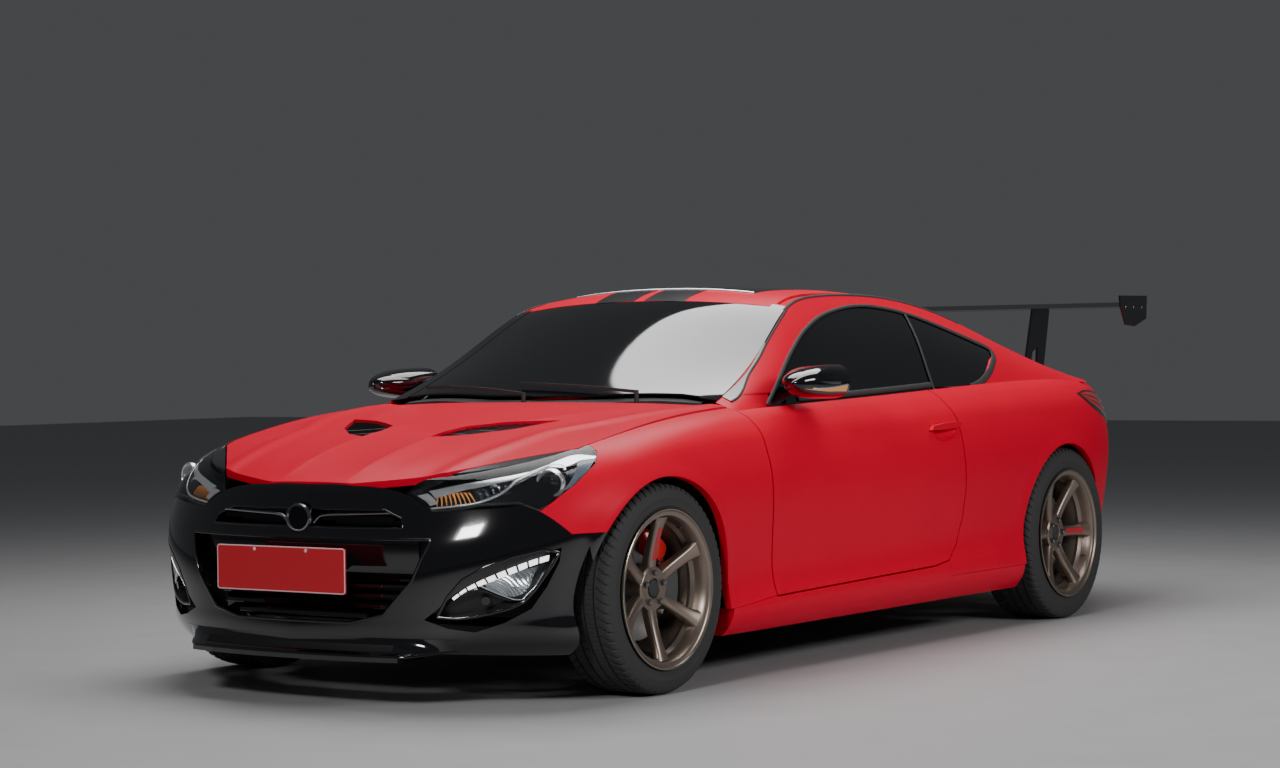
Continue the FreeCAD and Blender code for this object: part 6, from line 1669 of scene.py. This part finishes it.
@dataclass
class Seats:
    """Padded seats: cushions crowned in the middle, drawn in along their seams."""

    count: int = 26
    crown: float = 0.10
    channel: float = 0.05
    fill: float = 0.9

    def pad(self, centre: Point, half: Point, lean: float) -> Shape:
        """A cushion: a superellipsoid, crowned and channelled across its width, leant back about Y."""
        points, faces = superblock((0, 0, 0), half, 5.0, self.count, self.count * 2)
        local = points / MM / np.asarray(half)
        channel = self.channel * np.abs(np.sin(local[:, 1] * math.pi * 2.0)) ** 0.4
        thin = int(np.argmin(half))
        dome = (1 - local[:, (thin + 1) % 3] ** 2) * (1 - local[:, (thin + 2) % 3] ** 2)
        points[:, thin] *= 1 + self.crown * dome + channel - self.channel
        points[:, 1] *= 1 - 0.05 * (1 - np.abs(local[:, 0])) * (1 - np.abs(local[:, 2]))
        c, s = math.cos(lean), math.sin(lean)
        turned = points @ np.array([[c, 0, -s], [0, 1, 0], [s, 0, c]])
        return turned + np.asarray(centre) * MM, faces

    def build(self) -> None:
        """Makes the front pair and the rear bench."""
        x = ahead(0)
        for name, y in (("left", 370.0), ("right", -370.0)):
            seat = Bundle("seat_pads_" + name, CLOTH)
            seat.add(self.pad((x - 1390, y, 400), (235, 165, 62), 0.12))
            for side in (1, -1):
                seat.add(self.pad((x - 1400, y + side * 200, 415), (240, 42, 80), 0.12))
                seat.add(self.pad((x - 1690, y + side * 190, 640), (70, 42, 240), -0.36))
            seat.add(self.pad((x - 1700, y, 660), (58, 160, 270), -0.36))
            seat.add(self.pad((x - 1828, y, 958), (44, 120, 72), -0.30))
            # The left seat's pads stand for both of the solids' front seats
            seat.build(*(("front_seats",) if name == "left" else ()), angle=60)
            base = Bundle("seat_base_" + name, PLASTIC)
            base.add(superblock((x - 1440, y, 262), (200, 170, 90), 8, 12, 32)).build()
        bench = Bundle("rear_bench", CLOTH)
        for y in (270.0, -270.0):
            bench.add(self.pad((x - 2180, y, 380), (220, 240, 70), 0.14))
            bench.add(self.pad((x - 2420, y, 590), (60, 235, 220), -0.45))
        bench.build("rear_seat", angle=60)


@dataclass
class VentNet:
    """Thin bars across the dark net in the hood's vents."""

    sheets: BodySheets
    pitch: float = 13.0
    outline: Line = ((225, 142), (167, 250), (70, 355), (-85, 440), (-45, 345), (10, 225), (52, 155), (135, 135))

    def build(self) -> None:
        """Lays a bar at each pitch between the places where the vent's outline crosses that station."""
        bars = Bundle("vent_bars", MESH_DARK, "hood")
        outline = np.array(self.outline, float)
        for offset in np.arange(-60, 216, self.pitch):
            cross = [a[1] + (b[1] - a[1]) * (offset - a[0]) / (b[0] - a[0])
                     for a, b in zip(outline, np.roll(outline, -1, axis=0)) if (a[0] - offset) * (b[0] - offset) < 0]
            if len(cross) < 2:
                continue
            y, x = np.linspace(min(cross) + 2, max(cross) - 2, 12), np.full(12, ahead(offset))
            bars.add(tube(self.sheets.on("hood", hood_field(x, y / upper_edge(x)), -9), 1.6, 6), both=True)
        bars.build()


# The whole car and its stage

PANELS = (
    PanelPlan("hood", "hood", ("hood",), RED, facet=0.012),
    PanelPlan("fender_left", "chassis", ("side",), RED),
    PanelPlan("fender_right", "chassis", ("side",), RED),
    PanelPlan("front_bumper", "chassis", ("side",), BLACK),
    PanelPlan("door_left", "door_left", ("side",), RED),
    PanelPlan("door_right", "door_right", ("side",), RED),
    PanelPlan("trunk_lid", "trunk_lid", ("deck", "side"), RED),
    PanelPlan("roof_panel", "chassis", ("roof",), RED),
    PanelPlan("side_frame_left", "chassis", ("side", "cabin", "deck", "roof"), RED),
    PanelPlan("side_frame_right", "chassis", ("side", "cabin", "deck", "roof"), RED),
    PanelPlan("rear_bumper", "chassis", ("side",), RED),
    PanelPlan("side_skirts", "chassis", ("side",), RED),
    PanelPlan("windshield", "chassis", ("roof",), TINT, facet=0.03),
    PanelPlan("rear_window", "chassis", ("roof",), TINT, facet=0.03),
    PanelPlan("sunroof", "chassis", ("roof",), TINT, facet=0.03),
)
# Nodes of the solids that stay in view, by what they are made of
LOOKS = {
    DARK_CHROME: ("grille_bar",),
    BLACK: ("splitter", "mirror_left", "mirror_right", "rear_wing"),
    TINT: ("door_glass_left", "door_glass_right", "quarter_glass"),
    # The front plate glows with painted light
    GLOWING_PLATE_RED: ("number_plate",),
    TAIL_RED: ("tail_lamps",),
    CAST: ("knuckle_left", "knuckle_right", "front_suspension", "rear_suspension", "engine", "exhaust"),
    PLASTIC: ("floor_pan", "cowl", "rear_shelf", "wheel_liners", "steering_wheel", "centre_console", "wipers",
              "hood_vents"),
}
# Name, place, aim, size and energy of each soft box
LAMPS = (
    ("overhead", (-0.45, -0.42, 4.6), (-0.2, 0.0, 0.6), (4.7, 3.8), 290),
    ("front_fill", (6.8, 1.6, 3.4), (1.0, 0.2, 0.5), (1.0, 0.8), 150),
    ("side_fill", (1.0, 6.5, 3.0), (-0.4, 0.6, 0.6), (3.6, 1.2), 210),
)
FLOOR = Finish("floor", (0.36, 0.36, 0.365), roughness=0.55)
FLOOR_SIZE = 60
WORLD_COLOUR = (0.8, 0.82, 0.86, 1)
WORLD_STRENGTH = 0.085


@dataclass(frozen=True)
class View:
    """The photograph's camera: its place, its angles in radians and its focal length in pixels."""

    place: Point = (8.602, 5.676, 1.058)
    yaw: float = 3.74512
    pitch: float = -0.00995
    roll: float = -0.01162
    focal: float = 2728.78
    width: int = 1280
    sensor: float = 36.0

    def build(self) -> None:
        """Adds the camera and makes it the scene's."""
        ahead_of = np.array([math.cos(self.yaw) * math.cos(self.pitch), math.sin(self.yaw) * math.cos(self.pitch),
                             math.sin(self.pitch)])
        right = np.cross(ahead_of, [0, 0, 1])
        right /= np.linalg.norm(right)
        up = np.cross(right, ahead_of)
        c, s = math.cos(self.roll), math.sin(self.roll)
        lens = bpy.data.cameras.new("camera")
        lens.sensor_width = self.sensor
        lens.lens = self.focal / self.width * self.sensor
        item = bpy.data.objects.new("camera", lens)
        matrix = np.eye(4)
        matrix[:3] = np.stack([right * c + up * s, -right * s + up * c, -ahead_of, self.place], axis=1)
        item.matrix_world = Matrix(matrix)
        bpy.context.scene.collection.objects.link(item)
        bpy.context.scene.camera = item


def area_lamp(name: str, place: Point, aim: Point, size: tuple[float, float], energy: float) -> None:
    """A soft box at a place, turned to another."""
    lamp = bpy.data.lights.new(name, "AREA")
    lamp.shape = "RECTANGLE"
    lamp.size, lamp.size_y = size
    lamp.energy = energy
    item = bpy.data.objects.new(name, lamp)
    item.location = place
    item.rotation_euler = (Vector(aim) - Vector(place)).to_track_quat("-Z", "Y").to_euler()
    bpy.context.scene.collection.objects.link(item)


def stage() -> None:
    """A plain pale floor, a grey room, a wide soft box overhead and two low fills."""
    bpy.ops.mesh.primitive_plane_add(size=FLOOR_SIZE)
    floor = bpy.context.object
    floor.data.materials.append(FLOOR.material())
    world = bpy.data.worlds.new("studio")
    world.use_nodes = True
    background = world.node_tree.nodes["Background"]
    background.inputs["Color"].default_value = WORLD_COLOUR
    background.inputs["Strength"].default_value = WORLD_STRENGTH
    bpy.context.scene.world = world
    for row in LAMPS:
        area_lamp(*row)


def main() -> None:
    """Dresses every sub-assembly in order, then sets the stage and the camera."""
    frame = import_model()
    nodes = frame["nodes"]
    for finish, names in LOOKS.items():
        for name in names:
            piece = nodes[name]
            piece.data.materials.clear()
            piece.data.materials.append(finish.material())
    sheets = BodySheets()
    panels = BodyPanels(nodes, sheets)
    for plan in PANELS:
        panels.build(plan)
    for part in (Headlamp(sheets, panels), FogPod(sheets), Nose(sheets), Glasshouse(sheets), Mirror("left"),
                 Mirror("right"), Tail(sheets, nodes), VentNet(sheets), Seats()):
        part.build()
    for end in End:
        for side in (1, -1):
            Wheel(end, side).build()
    stage()
    View().build()


if __name__ == "__main__":
    logging.basicConfig(level=logging.INFO, format="%(message)s")
    main()
